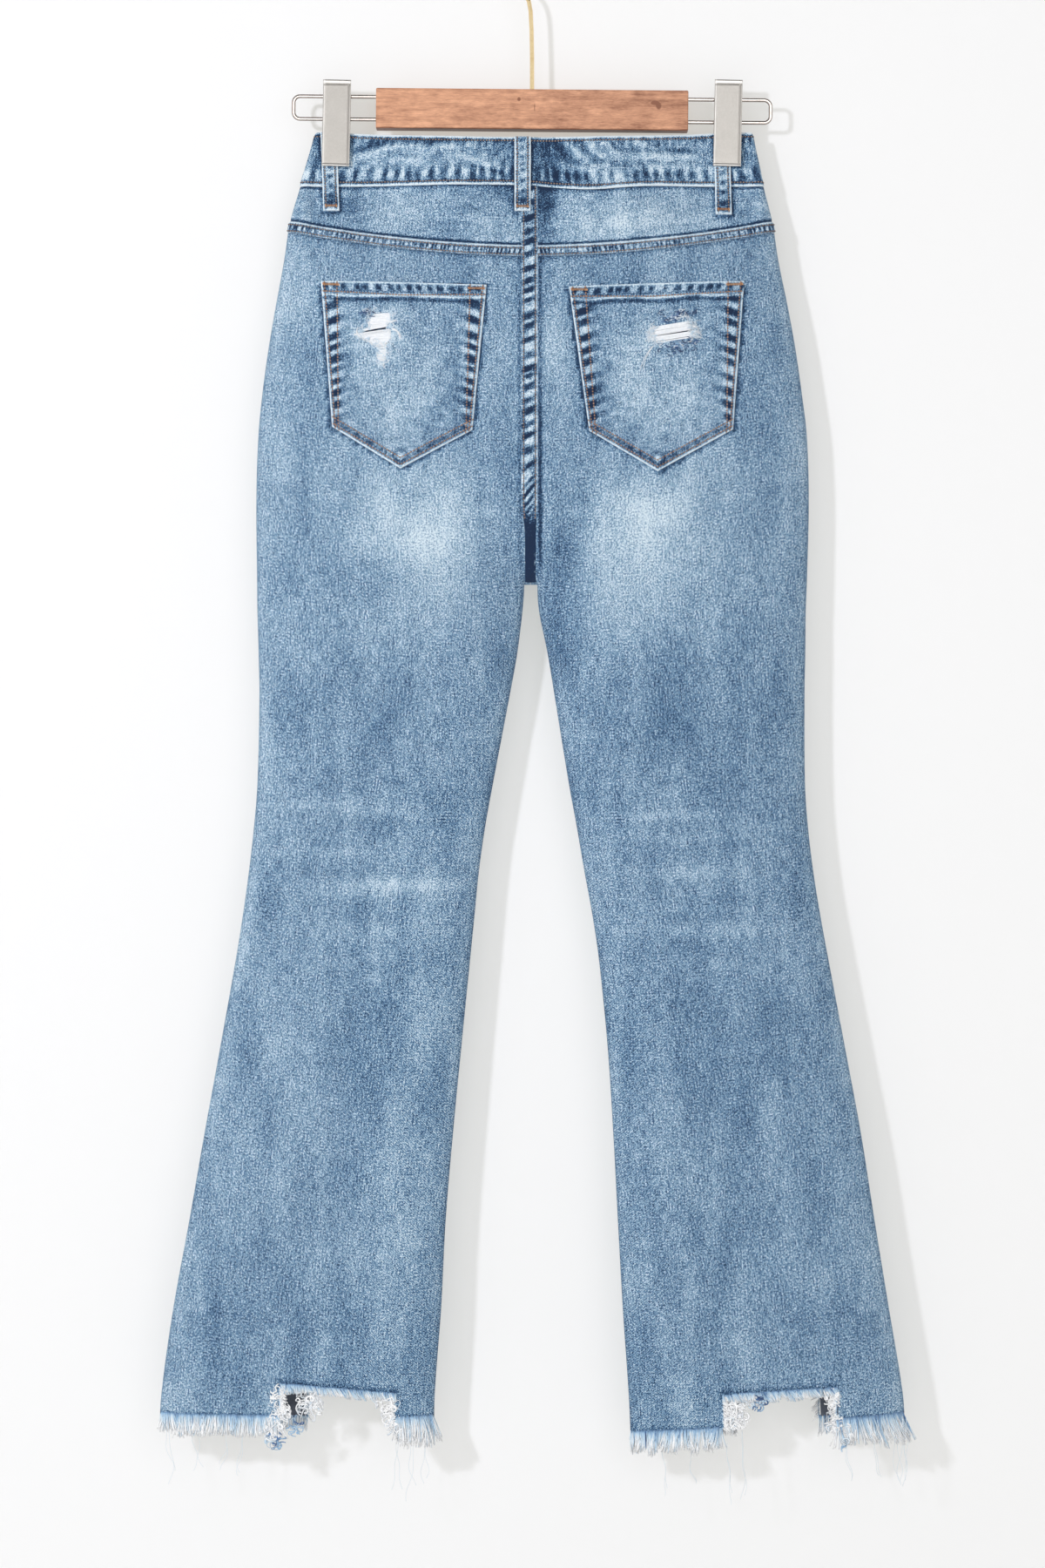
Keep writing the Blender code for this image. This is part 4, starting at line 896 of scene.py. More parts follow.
def wood_material():
    """Reddish wood with a soft wavy figure, pores along the bar and a few marks; its underside and its right
    end are painted darker as shade.
    """
    material, tree, shader = new_material("fine_grained_wood", 0.5, coat=0.15)
    spot = object_place(tree)
    figure = grainy(tree, spot, (56.0, 60.0, 150.0), 5.0, 0.66)
    streaks = grainy(tree, spot, (50.0, 500.0, 800.0), 4.0, 0.65)
    bands = grainy(tree, spot, (7.0, 120.0, 170.0), 3.0)
    pores = grainy(tree, spot, (240.0, 2400.0, 2400.0), 2.0)
    # painted shade: the underside and the right end of the bar are painted darker
    underside_shade = maths(tree, "MAXIMUM", times(tree, own_normal(tree)[2], -1.0), 0.0)
    along = node(tree, "SeparateXYZ", {0: spot}).outputs[0]
    right_end_shade = node(tree, "MapRange", {0: along, 1: 0.0, 2: 0.09, 3: 0.0, 4: 0.20}).outputs[0]
    tone = total(tree, times(tree, streaks, 0.26), times(tree, bands, 0.18), times(tree, figure, 0.44),
                 times(tree, pores, 0.20), times(tree, underside_shade, 0.9), right_end_shade)
    for centre, scale in WOOD_MARKS:
        off = node(tree, "VectorMath", {0: spot, 1: centre}, operation="SUBTRACT").outputs[0]
        far = node(tree, "VectorMath", {0: stretched(tree, off, scale)}, operation="LENGTH").outputs["Value"]
        mark = maths(tree, "MAXIMUM", maths(tree, "SUBTRACT", 1.0, far), 0.0)
        tone = total(tree, tone, times(tree, mark, 1.2))
    shade = colour_mix(tree, total(tree, tone, 0.40), (230, 172, 136), (130, 80, 56))
    tree.links.new(shade, shader.inputs["Base Color"])
    bump(tree, shader, total(tree, streaks, pores), 0.00008, 0.6)
    return material


denim = denim_material()
reverse = reverse_material()
frayed = yarn_end_material()
# the threads' dark colours are painted shade for the stitch ends that sink into the cloth
brown_thread = sewing_material("brown_sewing_thread", (170, 146, 132), (34, 34, 44))
tan_thread = sewing_material("tan_sewing_thread", (194, 152, 124), (54, 46, 50))
tack_thread = sewing_material("bartack_thread", (250, 196, 146), (214, 132, 76))
tape = tape_material()
brass = metal_material("aged_brass_plate", (178, 148, 100), (110, 84, 52), 0.4, 200.0)
nickel = metal_material("brushed_nickel_plate", (193, 189, 184), (175, 171, 166), 0.46, 700.0)
# the bright wire's dark colour is the painted shade on its sides
bright_wire = metal_material("bright_nickel_wire", (242, 232, 226), (104, 86, 74), 0.16, 500.0, 1.5)
gold = metal_material("gold_plated_wire", (250, 232, 190), (214, 178, 118), 0.22, 300.0)
wood = wood_material()


# ---- leg panels ----------------------------------------------------------------------------
FOOT_START = 985.0
SEAM_LEFT, SEAM_RIGHT = -8.6, 4.4


def ripple(x, drop):
    """Slight unevenness of cloth that hangs by its own weight."""
    return (0.20 * np.sin(x / 9.1 + 1.7 * np.sin(drop / 37.0)) * np.sin(drop / 23.0 + 0.8 * np.sin(x / 31.0))
            + 0.16 * np.sin(x / 17.3 - drop / 61.0) * np.sin(drop / 47.0 + x / 71.0))


def even(first, last, step):
    return np.linspace(first, last, max(int(round(abs(last - first) / step)), 1) + 1)


def pocket_dye_and_shadow(side, x, drop):
    """Cloth that a patch pocket has kept from the wash, dark under the pocket; the dark margin just outside
    its edge is painted shadow.
    """
    pocket = BACK_POCKETS[side]
    t = np.clip((drop - pocket.top_in[1]) / (pocket.low_in[1] - pocket.top_in[1]), 0.0, 1.2)
    near_x = mix(pocket.top_in[0], pocket.low_in[0], t)
    far_x = mix(pocket.top_out[0], pocket.low_out[0], t)
    s = (x - near_x) / (far_x - near_x)
    # the margin reaches past the pocket's edge to paint a shadow line on the panel
    shadow_margin = -0.018
    inside = (s > shadow_margin) & (s < 1 - shadow_margin) & (drop > pocket.top_in[1] - 1.0)
    lower = np.where(s < 0.5, mix(pocket.low_in[1], pocket.point[1], s * 2.0),
                     mix(pocket.point[1], pocket.low_out[1], s * 2.0 - 1.0))
    return np.where(inside & (drop < lower + 2.2), 0.95, 0.0)


def leg_panel(name, node_name, side, face, line, first, columns, step):
    """A leg panel, from its upper edge line down to its stepped hem."""
    hem = HEMS[side, face]
    turns = np.linspace(0.0, 1.0, columns + 1)
    for wanted in (turn_of(hem.notch_in), turn_of(hem.notch_out)):
        turns[1 + np.argmin(np.abs(turns[1:-1] - wanted))] = wanted
    turns = np.concatenate([[-1.0, -0.5], turns])
    top = crossing(side, turns, line)
    rows = [mix(top, first, share) for share in np.linspace(0.0, 1.0, int(80.0 / step))[:-1]]
    levels = np.concatenate([even(first, CROTCH, step), even(CROTCH, FOOT_START, step)[1:]])
    crotch_row = len(rows) + int(np.argmin(np.abs(levels - CROTCH)))
    rows += [np.full(turns.shape, level) for level in levels]
    share = share_of(np.maximum(turns, 0.0))
    notch, foot = notch_line(side, face, share), hem_line(side, face, share)
    rows += [mix(FOOT_START, notch, t) for t in (0.14, 0.28, 0.42, 0.56, 0.70, 0.80, 0.88, 0.94, 1.0)]
    notch_row = len(rows) - 1
    rows += [mix(notch, foot, t) for t in (0.12, 0.25, 0.38, 0.50, 0.62, 0.74, 0.83, 0.90, 0.95, 1.0)]
    drop = np.array(rows)
    x = x_at(side, turns[None, :], drop)
    base = place(side, face, x, drop)
    base[..., 1] += face * ripple(x, drop) * smooth(HALF_GAP, 4.0, np.abs(base[..., 1]))
    keep = np.ones((len(rows) - 1, len(turns) - 1), bool)
    keep[crotch_row:, :2] = False
    first_notch = int(np.argmin(np.abs(turns - turn_of(hem.notch_in))))
    last_notch = int(np.argmin(np.abs(turns - turn_of(hem.notch_out))))
    keep[notch_row:, first_notch:last_notch] = False
    wash = patches(face, x, drop)
    if face < 0:
        wash = wash + pocket_dye_and_shadow(side, x, drop)
        # the darker lines beside the centre back seam, stronger on its right, are kept dye and painted shadow
        dye_and_shade_beside = lined(0.0, (0.50, x, SEAM_LEFT - 1.2, 1.6),
                       (0.7 + 0.7 * smooth(190.0, 240.0, drop), x, SEAM_RIGHT + 1.9, 1.7))
        wash = lined(wash, (0.45, drop, line(x), 2.2)) + dye_and_shade_beside * (1.0 - smooth(330.0, 362.0, drop))
    between_notches = (share > hem.notch_in - 1e-6) & (share < hem.notch_out + 1e-6)
    raw = np.where(between_notches, notch, foot)
    inner, outer = edges_at(side, drop)
    from_out, from_in = np.abs(outer - x), np.abs(x - inner)
    wash = lined(wash, (0.60, raw[None, :] - drop, 0.2, np.where(between_notches, 3.4, 1.3)),
                 (0.06, from_out, 0.0, 2.2), (-0.12, from_out, 5.5, 3.0))
    inseam = lined(0.0, (0.16, from_in, 0.0, 2.4), (-0.08, from_in, 6.0, 3.0))
    wash = wash + smooth(CROTCH, CROTCH + 30.0, drop) * inseam
    return shell(name, base, wash, DENIM, [denim, reverse], [node_name], keep)


cloths = {}
for side, word in SIDES:
    cloths["back", side] = leg_panel("back_leg_" + word, "back_panel_" + word, side, -1,
                                     lambda x: yoke_foot(x) + HALF_GAP, first=125.0, columns=86, step=3.3)
    cloths["front", side] = leg_panel("front_leg_" + word, "front_panel_" + word, side, 1,
                                      lambda x: scoop_line(side, x) + HALF_GAP, first=150.0,
                                      columns=56, step=5.0)


# ---- felled seam down the centre back --------------------------------------------------------
SEAM_START, SEAM_END = 44.5, 312.0
SEAM_STEP, SEAM_COLUMNS = 1.15, 13
SEAM_STITCHES = (0.14, 0.86)
CLOSER_ROPES = 278.0
seam_knots = knots(CLOSER_ROPES, 9.6, 21, 0.35)
seam_knots += [(at + CLOSER_ROPES, half, strength) for at, half, strength in knots(100.0, 6.4, 22, 0.4)]


def centre_back_seam():
    """The felled seam's strip, roped between its stitches and sunk where the legs part, where it is painted
    near black as shade.
    """
    off = np.linspace(0.0, 1.0, SEAM_COLUMNS + 1)[None, :]
    drop = even(SEAM_START, CROTCH - 2.0, SEAM_STEP)[:, None]
    narrow = smooth(SEAM_END - 12.0, SEAM_END + 12.0, drop)
    x = mix(SEAM_LEFT + 2.6 * narrow, SEAM_RIGHT - 0.9 * narrow, off)
    off, drop = np.broadcast_arrays(off, drop)
    slanted = pucker(drop + (off - 0.5) * (4.5 + 13.0 * smooth(250.0, 300.0, drop)), seam_knots)
    lift = lined(FELL_PROUD * (1.0 - 0.6 * smooth(320.0, 352.0, drop)), (0.55 * slanted, off, 0.5, 0.3),
                 (-0.75, off, 0.0, 0.04), (-0.75, off, 1.0, 0.04),
                 *[(-0.25, off, row, 0.05) for row in SEAM_STITCHES])
    points, _ = skin(-1, x, drop, lift)
    # painted shade: the sunken strip between the legs is painted near black
    recess_shade = smooth(SEAM_END - 14.0, SEAM_END + 10.0, drop)
    wash = lined(patches(-1, x, drop) * 0.5, (2.3 * slanted, off, 0.46, 0.38),
                 (-0.70 * (1 - slanted), off, 0.5, 0.4))
    wash = wash + 0.55 * cloudy(x + drop * 0.5, drop, 3.0, 2.2, 59) + 0.45 * cloudy(x, drop, 9.0, 13.0, 61)
    wash = lined(wash, *[(0.6, off, row, 0.05) for row in SEAM_STITCHES])
    wash = mix(wash, 2.2 + 0.4 * cloudy(x, drop, 6.0, 2.4, 60), recess_shade)
    wash = wash - lined(0.0, (0.95, off, 1.0, 0.09), (0.5, off, 0.0, 0.07)) * (1.0 - recess_shade)
    return shell("centre_back_seam", points, wash, FELL_WALL, [denim, reverse], [])


cloths["seam"] = centre_back_seam()
seam_rows = np.arange(0.0, (SEAM_END - SEAM_START) / SEAM_STEP, 0.8)
for share in SEAM_STITCHES:
    sew_on("brown_topstitching", cloths["seam"], seam_rows, share * SEAM_COLUMNS)


# ---- back yokes ----------------------------------------------------------------------------
def yoke(side, word):
    plain_rows, band_rows = 21, 19
    turns = np.linspace(0.0, 1.0, 300)
    top = crossing(side, turns, lambda x: waist_foot(x) + HALF_GAP)
    foot = crossing(side, turns, lambda x: yoke_foot(x) - HALF_GAP)
    fine = YOKE_BAND + 4.0
    bend = foot - fine
    rows = [mix(top, bend, share) for share in np.linspace(0.0, 1.0, plain_rows + 1)]
    rows += [mix(bend, foot, share) for share in np.linspace(0.0, 1.0, band_rows + 1)[1:]]
    drop = np.array(rows)
    x = x_at(side, turns[None, :], drop)
    from_foot = foot[None, :] - drop
    run = np.abs(x)
    teeth = pucker(run + from_foot * 0.25, knots(240.0, 3.1, 31 + side, 0.5))
    clusters = 0.45 + 0.55 * smooth(-0.3, 0.6, np.sin(run / 9.0 + side) + 0.5 * np.sin(run / 3.7))
    in_band = smooth(YOKE_BAND + 0.7, YOKE_BAND - 0.1, from_foot)
    lift = lined((FELL_PROUD + 0.2) * in_band, (0.22 * teeth, from_foot, 4.0, 2.0),
                 (-0.6, from_foot, 0.0, 0.5), (-0.35, from_foot, YOKE_BAND + 1.3, 1.0))
    base = place(side, -1, x, drop)
    base[..., 1] -= ripple(x, drop) * 0.7
    points = base + outward(base) * lift[..., None]
    wash = patches(-1, x, drop) - 0.12 * (1.0 - in_band)
    wash = wash + 0.24 * cloudy(x, drop, 9.0, 2.6, 57 + side) * (1.0 - in_band)
    # the dark line just above the band is painted shadow; the white line at the band's edge is its worn edge
    wash = lined(wash, (-1.5, from_foot, YOKE_BAND, 0.8), (1.6, from_foot, YOKE_BAND + 1.8, 0.95),
                 (2.2 * teeth * clusters - 0.65 * (1 - teeth), from_foot, 3.9, 2.0))
    wash = wash + 0.30 * cloudy(run, drop, 5.0, 3.0, 58) * in_band
    wash = lined(wash, (0.75, from_foot, YOKE_BAND - 1.7, 0.7), (0.60, from_foot, 1.2, 0.7),
                 (-0.55, from_foot, 0.3, 0.6), (1.2, drop - top[None, :], 0.5, 1.2))
    wash = wash + loop_dye_and_shadow(-1, x, drop)
    cloth = shell("yoke_" + word + "_cloth", points, wash, DENIM, [denim, reverse], ["yoke_" + word])
    columns = np.arange(0.0, len(turns) - 2.0)
    for off in (1.2, YOKE_BAND - 1.7):
        row = plain_rows + (fine - off) / fine * band_rows
        sew_on("brown_topstitching", cloth, row, columns)
    return cloth


for side, word in SIDES:
    cloths["yoke", side] = yoke(side, word)


# ---- waistband -----------------------------------------------------------------------------
BAND_STITCHES = (0.076, 0.921)


def band_places():
    """Sides, faces and turns round the band, from its under end at the front to its upper end."""
    under = turn_of((FLY_UNDERLAP - L_IN) / (measured("left_out", BAND_MIDDLE) - L_IN))
    runs = [(-1, 1, under, 0.0, 14), (-1, 1, 0.0, -1.0, 4), (1, 1, -1.0, 0.0, 4), (1, 1, 0.0, 1.0, 92),
            (1, -1, 1.0, 0.0, 138), (1, -1, 0.0, -1.0, 5), (-1, -1, -1.0, 0.0, 5), (-1, -1, 0.0, 1.0, 138),
            (-1, 1, 1.0, 0.0, 92), (-1, 1, 0.0, -1.0, 4), (1, 1, -1.0, 0.0, 4), (1, 1, 0.0, FLY_OVERLAP, 10)]
    found = []
    for side, face, first, last, count in runs:
        found += [(side, face, turn) for turn in np.linspace(first, last, count + 1)[:-1]]
    side, face, first, last, count = runs[-1]
    return np.array(found + [(side, face, last)])


def waistband():
    places = band_places()
    side, face, turn = places[:, 0], places[:, 1], places[:, 2]
    height = np.concatenate([np.linspace(0.0, 0.12, 9), np.linspace(0.12, 0.84, 20)[1:],
                             np.linspace(0.84, 1.0, 13)[1:]])[:, None]
    count = len(height)
    drop = np.full((count, len(places)), BAND_MIDDLE)

    def x_for(drop):
        return np.where(side < 0, x_at(-1, turn, drop), x_at(1, turn, drop))

    for _ in range(5):
        x = x_for(drop)
        top = waist_top(x) * np.where(face < 0, 1.0, 2.0)
        drop = top + (waist_foot(x) - HALF_GAP - top) * height
    x = x_for(drop)
    y = np.where(face < 0, -depth_at(side, -1, x, drop), depth_at(side, 1, x, drop))
    base = np.stack([x, y, WAIST_Z - drop], axis=-1)
    step = np.linalg.norm(np.diff(base[count // 2], axis=0), axis=1)
    run = np.concatenate([[0.0], np.cumsum(step)])[None, :]
    from_foot = (1.0 - height) * (waist_foot(x) - top)
    from_top = height * (waist_foot(x) - top)
    rope = pucker(run - from_foot * 0.06, knots(float(run[0, -1]), 9.8, 51, 0.26))
    small = pucker(run - from_top * 0.2, knots(float(run[0, -1]), 6.5, 52))
    lift = lined(BAND_PROUD, (0.55 * rope, from_foot, 8.0, 5.0), (0.25 * small, from_top, 5.0, 3.0),
                 (-0.30, from_foot, 3.2, 0.7), (-0.25, from_top, 3.0, 0.7),
                 (-0.7, from_foot, 0.0, 0.7), (-0.5, from_top, 0.0, 0.8))
    back = np.where(face < 0, 1.0, 0.0)
    bent = height_of(BAND_CREASES, -1, x, drop) * back
    lift = lift + bent
    index = np.arange(len(places))
    at_left_seam = int(np.flatnonzero((side < 0) & (face > 0) & (index > len(places) // 2))[0])
    overlap = smooth(FLY_UNDERLAP - 2.0, FLY_UNDERLAP + 2.0, x) * (index > at_left_seam)
    lift = lift + (BAND_WALL + GAP) * overlap
    normal = outward(base)
    points = base + normal * lift[..., None]
    # the folds are painted paler on their ridges and darker in their troughs, as painted light and shade
    wash = -0.06 - 0.85 * bent + 0.04 * near(x, -90.0, 60.0) * back
    wash = wash + 0.20 * cloudy(run + drop * 0.5, drop, 15.0, 4.0, 54)
    wash = wash + 0.26 * cloudy(run, drop, 5.0, 5.0, 56) + 0.36 * cloudy(run, drop, 2.6, 2.8, 55)
    # the darker cloth beside the centre loop is painted shade
    wash = lined(wash, (0.66 * back, x, 8.0, 15.0), (0.26 * back, x, -24.0, 12.0),
                 (-0.12 * back, x, 95.0, 40.0))
    wash = wash + 0.30 * near(x, 24.0, 26.0) * back * height
    # the dark strip just right of the right clip is painted shadow
    wash = wash + 0.70 * near(x, -170.0, 7.0) * back * (1.0 - height) + 0.3 * near(x, 168.0, 8.0) * back
    wash = lined(wash, (1.55 * rope, from_foot, 9.6, 5.0), (-0.66 * (1 - rope), from_foot, 10.0, 5.4),
                 (0.95 * small - 0.1, from_top, 6.4, 3.2), (-1.7, from_foot, 0.6, 1.0),
                 (-1.7, from_top, 0.4, 1.0), (0.95, from_foot, 3.3, 1.0), (0.85, from_top, 2.9, 0.9))
    wash = wash + loop_dye_and_shadow(-1, x, drop) * back + loop_dye_and_shadow(1, x, drop) * (1.0 - back)
    cloth = shell("waistband_cloth", points, wash, BAND_WALL, [denim, reverse], ["waistband"], normals=normal)
    columns = np.arange(0.0, len(places) - 1.0, 0.45)
    for share in BAND_STITCHES:
        row = float(np.interp(share, height[:, 0], np.arange(count)))
        sew_on("brown_topstitching", cloth, row, columns)
    return cloth


cloths["waistband"] = waistband()


# ---- back pockets --------------------------------------------------------------------------
def inside(x, drop, corners):
    """Whether each place lies within a closed outline of x and drop."""
    found = np.zeros(np.broadcast(x, drop).shape, bool)
    for (x_0, drop_0), (x_1, drop_1) in zip(corners, corners[1:] + corners[:1]):
        spans = (drop_0 > drop) != (drop_1 > drop)
        found ^= spans & (x < x_0 + (x_1 - x_0) * (drop - drop_0) / (drop_1 - drop_0 + 1e-9))
    return found


def back_pocket(side, word):
    pocket, rips = BACK_POCKETS[side], RIPS[side]
    point_share = (pocket.point[0] - pocket.low_in[0]) / (pocket.low_out[0] - pocket.low_in[0])
    s = np.concatenate([np.linspace(0.0, 0.13, 22), np.linspace(0.13, point_share, 34)[1:],
                        np.linspace(point_share, 0.87, 34)[1:], np.linspace(0.87, 1.0, 22)[1:]])[None, :]
    hem_share = POCKET_HEM / (pocket.low_in[1] - pocket.top_in[1])
    t = np.concatenate([np.linspace(0.0, hem_share * 1.6, 24), np.linspace(hem_share * 1.6, 0.82, 72)[1:],
                        np.linspace(0.82, 1.0, 40)[1:]])[:, None]
    foot = np.where(s <= point_share, mix(pocket.low_in[1], pocket.point[1], s / point_share),
                    mix(pocket.point[1], pocket.low_out[1], (s - point_share) / (1.0 - point_share)))
    head = mix(pocket.top_in[1], pocket.top_out[1], s)
    near_x = mix(pocket.top_in[0], pocket.low_in[0], t)
    far_x = mix(pocket.top_out[0], pocket.low_out[0], t)
    x, drop = mix(near_x, far_x, s), mix(head, foot, t)
    width = np.abs(far_x - near_x)
    from_in, from_out, from_top = s * width, (1.0 - s) * width, drop - head
    from_foot = (foot - drop) * 0.88
    edge = np.minimum(np.minimum(from_in, from_out), from_foot)
    run = np.where(from_foot < np.minimum(from_in, from_out), np.abs(x - pocket.point[0]) * 1.13, drop)
    blocks = pucker(run + edge * 0.35, knots(320.0, 10.4, 61 + side, 0.22))
    band = mix(11.0, 5.0, np.clip(t * 1.1, 0.0, 1.0))
    between = smooth(1.6, 3.4, edge) * (1.0 - smooth(band, band + 5.0, edge)) * smooth(8.0, 14.0, from_top)
    hem_teeth = pucker(np.abs(x) + from_top * 0.3, knots(180.0, 8.8, 71 + side, 0.35))
    in_hem = 1.0 - smooth(POCKET_HEM - 0.5, POCKET_HEM + 0.9, from_top)
    lift = lined(POCKET_LIFT + FELL_PROUD * in_hem, (0.30 * hem_teeth, from_top, 4.5, 2.6),
                 (0.45 * blocks * between, edge, 5.5, 3.6), (-0.22, edge, 2.8, 0.7), (-0.7, edge, 0.0, 0.5),
                 (-0.5, from_top, 0.0, 0.5), (smooth(18.0, 60.0, edge), t, 0.35, 0.4))
    hole = inside(x, drop, [(weft.left, weft.left_drop) for weft in rips]
                  + [(weft.right, weft.right_drop) for weft in rips[::-1]])
    rag = np.zeros(x.shape)
    for weft in rips:
        far_left = np.hypot(x - weft.left, drop - weft.left_drop)
        far_right = np.hypot(x - weft.right, drop - weft.right_drop)
        rag = np.maximum(rag, near(np.minimum(far_left, far_right), 0.0, 4.6))
    points, normal = skin(-1, x, drop, lift)
    wash = patches(-1, x, drop)
    wash = wash - (0.30 + 0.06 * side) * smooth(12.0, 40.0, edge) * near(t, 0.60, 0.42)
    streaky = near(edge, band + 3.0, 7.0) * smooth(14.0, 20.0, from_top) * (1.0 - smooth(0.75, 1.0, t))
    in_point = smooth(-2.0, 3.0, np.minimum(from_in, from_out) - from_foot)
    wash = wash + (1.7 * blocks - 0.60 * (1 - blocks)) * between * (1.0 - 0.75 * in_point)
    wash = wash + 0.95 * (blocks - 0.35) * streaky * (1.0 - in_point)
    hatch = pucker(run + edge, knots(320.0, 3.4, 66 + side, 0.4))
    wash = wash + in_point * near(edge, 5.7, 2.6) * (-0.05 + 0.80 * hatch)
    wash = wash + 0.20 * cloudy(x, drop, 6.0, 4.0, 62 + side)
    wavy = POCKET_HEM + cloudy(x, 0.0, 16.0, 9.0, 68 + side)
    tip = np.hypot(x - pocket.point[0], drop - pocket.point[1] + 10.0)
    wash = lined(wash, (2.6 * hem_teeth - 0.55, from_top, 4.4, 2.4), (0.45, from_top, 7.9, 0.7),
                 (-1.05, from_top, wavy + 0.6, 0.9), (1.05, from_top, wavy + 3.4, 1.7),
                 (0.55, edge, 2.5, 0.8), (0.35 * (from_top > POCKET_HEM), edge, band, 0.8),
                 (-1.6, edge, 0.2, 1.0), (-1.4, from_top, 0.2, 1.0), (-0.9, tip, 0.0, 2.8),
                 (0.5, tip, 5.0, 1.7))
    wash = wash - (0.25 + 0.75 * smooth(-0.2, 0.5, cloudy(x, drop, 2.4, 2.0, 63))) * rag * 0.75
    for centre_x, centre_drop, half_x, half_drop in CRUMPLES[side]:
        down = drop + 0.25 * (x - centre_x) - centre_drop
        crumple = near(np.hypot((x - centre_x) / half_x, down / half_drop), 0.0, 1.0)
        wash = wash + crumple * (0.45 + 0.9 * cloudy(x, drop, 2.6, 2.2, 64))
    keep = ~(hole[:-1, :-1] & hole[1:, 1:])
    cloth = shell("back_pocket_" + word + "_cloth", points, wash, DENIM, [denim, reverse],
                  ["back_pocket_" + word], keep, normals=normal)
    row_index, column_index = np.arange(t.shape[0]), np.arange(s.shape[1])
    down, over = np.arange(0.0, row_index[-1], 0.8), np.arange(0.0, column_index[-1], 0.8)
    down_t = np.interp(down, row_index, t[:, 0])
    width_at = np.interp(down_t, t[:, 0], width[:, 0])

    def column_for(inset):
        return np.interp(inset / width_at, s[0], column_index)

    inner_inset = mix(13.0, 5.6, np.clip(down_t * 1.05, 0.0, 1.0))
    for inset in (np.full(down.shape, 2.8), inner_inset):
        sew_on("tan_topstitching", cloth, down, column_for(inset))
        sew_on("tan_topstitching", cloth, down, s.shape[1] - 1.0 - column_for(inset))
    height = (foot - head)[0]
    for inset in (3.2, 8.6):
        share = 1.0 - inset / np.interp(over, column_index, height)
        sew_on("tan_topstitching", cloth, np.interp(share, t[:, 0], row_index), over)
    sew_on("tan_topstitching", cloth, np.interp(hem_share * 0.80, t[:, 0], row_index), over)
    return cloth


for side, word in SIDES:
    cloths["pocket", side] = back_pocket(side, word)


def rip_threads(side, word):
    """Bare weft threads left across a worn place, their broken ends and the locks that hang from them."""
    rng = np.random.default_rng(81 + side)
    rips, rise = RIPS[side], POCKET_LIFT + RIP_RISE[side]
    steps = 9
    k = np.linspace(0.0, 1.0, steps)
    arch = np.sin(np.pi * k)
    paths, radii, tips = [], [], []

    def lay(x, drop, lift, radius, tone):
        paths.append(skin(-1, x, drop, lift)[0])
        radii.append(np.broadcast_to(radius, (steps,)))
        tips.append(np.full(steps, np.clip(tone, 0.0, 0.88)))

    for upper, lower in zip(rips[:-1], rips[1:]):
        if upper.broken:
            continue
        apart = ((lower.left_drop + lower.right_drop) - (upper.left_drop + upper.right_drop)) / 2.0
        rows = max(int(round(apart / WEFT_GAP)), 1)
        for t in np.arange(rows + lower.broken) / rows:
            left = mix(upper.left, lower.left, t) - abs(rng.normal(0.0, 1.2))
            right = mix(upper.right, lower.right, t) + abs(rng.normal(0.0, 1.0))
            left_drop = mix(upper.left_drop, lower.left_drop, t)
            fall = mix(left_drop, mix(upper.right_drop, lower.right_drop, t), k)
            drop = fall + 0.16 * arch * rng.uniform(-1.0, 1.0) + rng.uniform(-0.12, 0.12)
            lay(mix(left, right, k), drop, rise + arch * rng.uniform(0.0, 0.45) - 0.2,
                rng.uniform(0.30, 0.44), rng.normal(0.97, 0.05))
    for _ in range(RIP_HAIRS):
        weft = rips[rng.integers(0, len(rips))]
        at_left = rng.random() < 0.55
        start_x, start = (weft.left, weft.left_drop) if at_left else (weft.right, weft.right_drop)
        reach, turn = rng.uniform(1.5, 5.5), rng.uniform(0.0, 2.0 * np.pi)
        bend = rng.uniform(-3.0, 3.0)
        x = start_x + rng.normal(0.0, 1.6) + reach * k * np.cos(turn + bend * k)
        drop = start + rng.normal(-0.6, 1.8) + reach * k * np.sin(turn + bend * k) * 0.8
        lay(x, drop, rise + 0.1 + arch * rng.uniform(0.2, 1.0),
            rng.uniform(0.14, 0.26), rng.uniform(0.45, 1.0))
    for centre_x, centre_drop, half_x, half_drop in CRUMPLES[side]:
        for _ in range(int(half_x * 3.6)):
            at, up = rng.normal(0.0, 0.42), rng.normal(0.0, 0.45)
            reach, turn, bend = rng.uniform(2.5, 6.0), rng.uniform(0.0, 2.0 * np.pi), rng.uniform(-4.5, 4.5)
            x = centre_x + at * half_x + reach * k * np.cos(turn + bend * k)
            drop = centre_drop + up * half_drop - 0.25 * at * half_x
            drop = drop + reach * k * np.sin(turn + bend * k) * 0.6
            lay(x, drop, rise + 0.05 + arch * rng.uniform(0.2, 0.8),
                rng.uniform(0.22, 0.38), rng.choice([0.0, 0.12, 0.3, 0.75]))
    for lock in RIP_LOCKS[side]:
        for _ in range(lock.threads):
            turn = lock.turn + rng.normal(0.0, 0.06) + lock.bend * k
            step = lock.reach * rng.uniform(0.85, 1.0) / (steps - 1.0)
            x = lock.x + np.cumsum(np.cos(turn)) * step + rng.normal(0.0, 0.3)
            drop = lock.drop + np.cumsum(np.sin(turn)) * step + rng.normal(0.0, 0.35)
            lay(x, drop, rise + 0.25 + 0.7 * arch * rng.uniform(0.5, 1.0), 0.32 * (1.0 - 0.6 * k), 1.0)
    return tubes("worn_threads_" + word, np.array(paths), np.array(radii), frayed, tips=np.array(tips))


worn = {side: rip_threads(side, word) for side, word in SIDES}


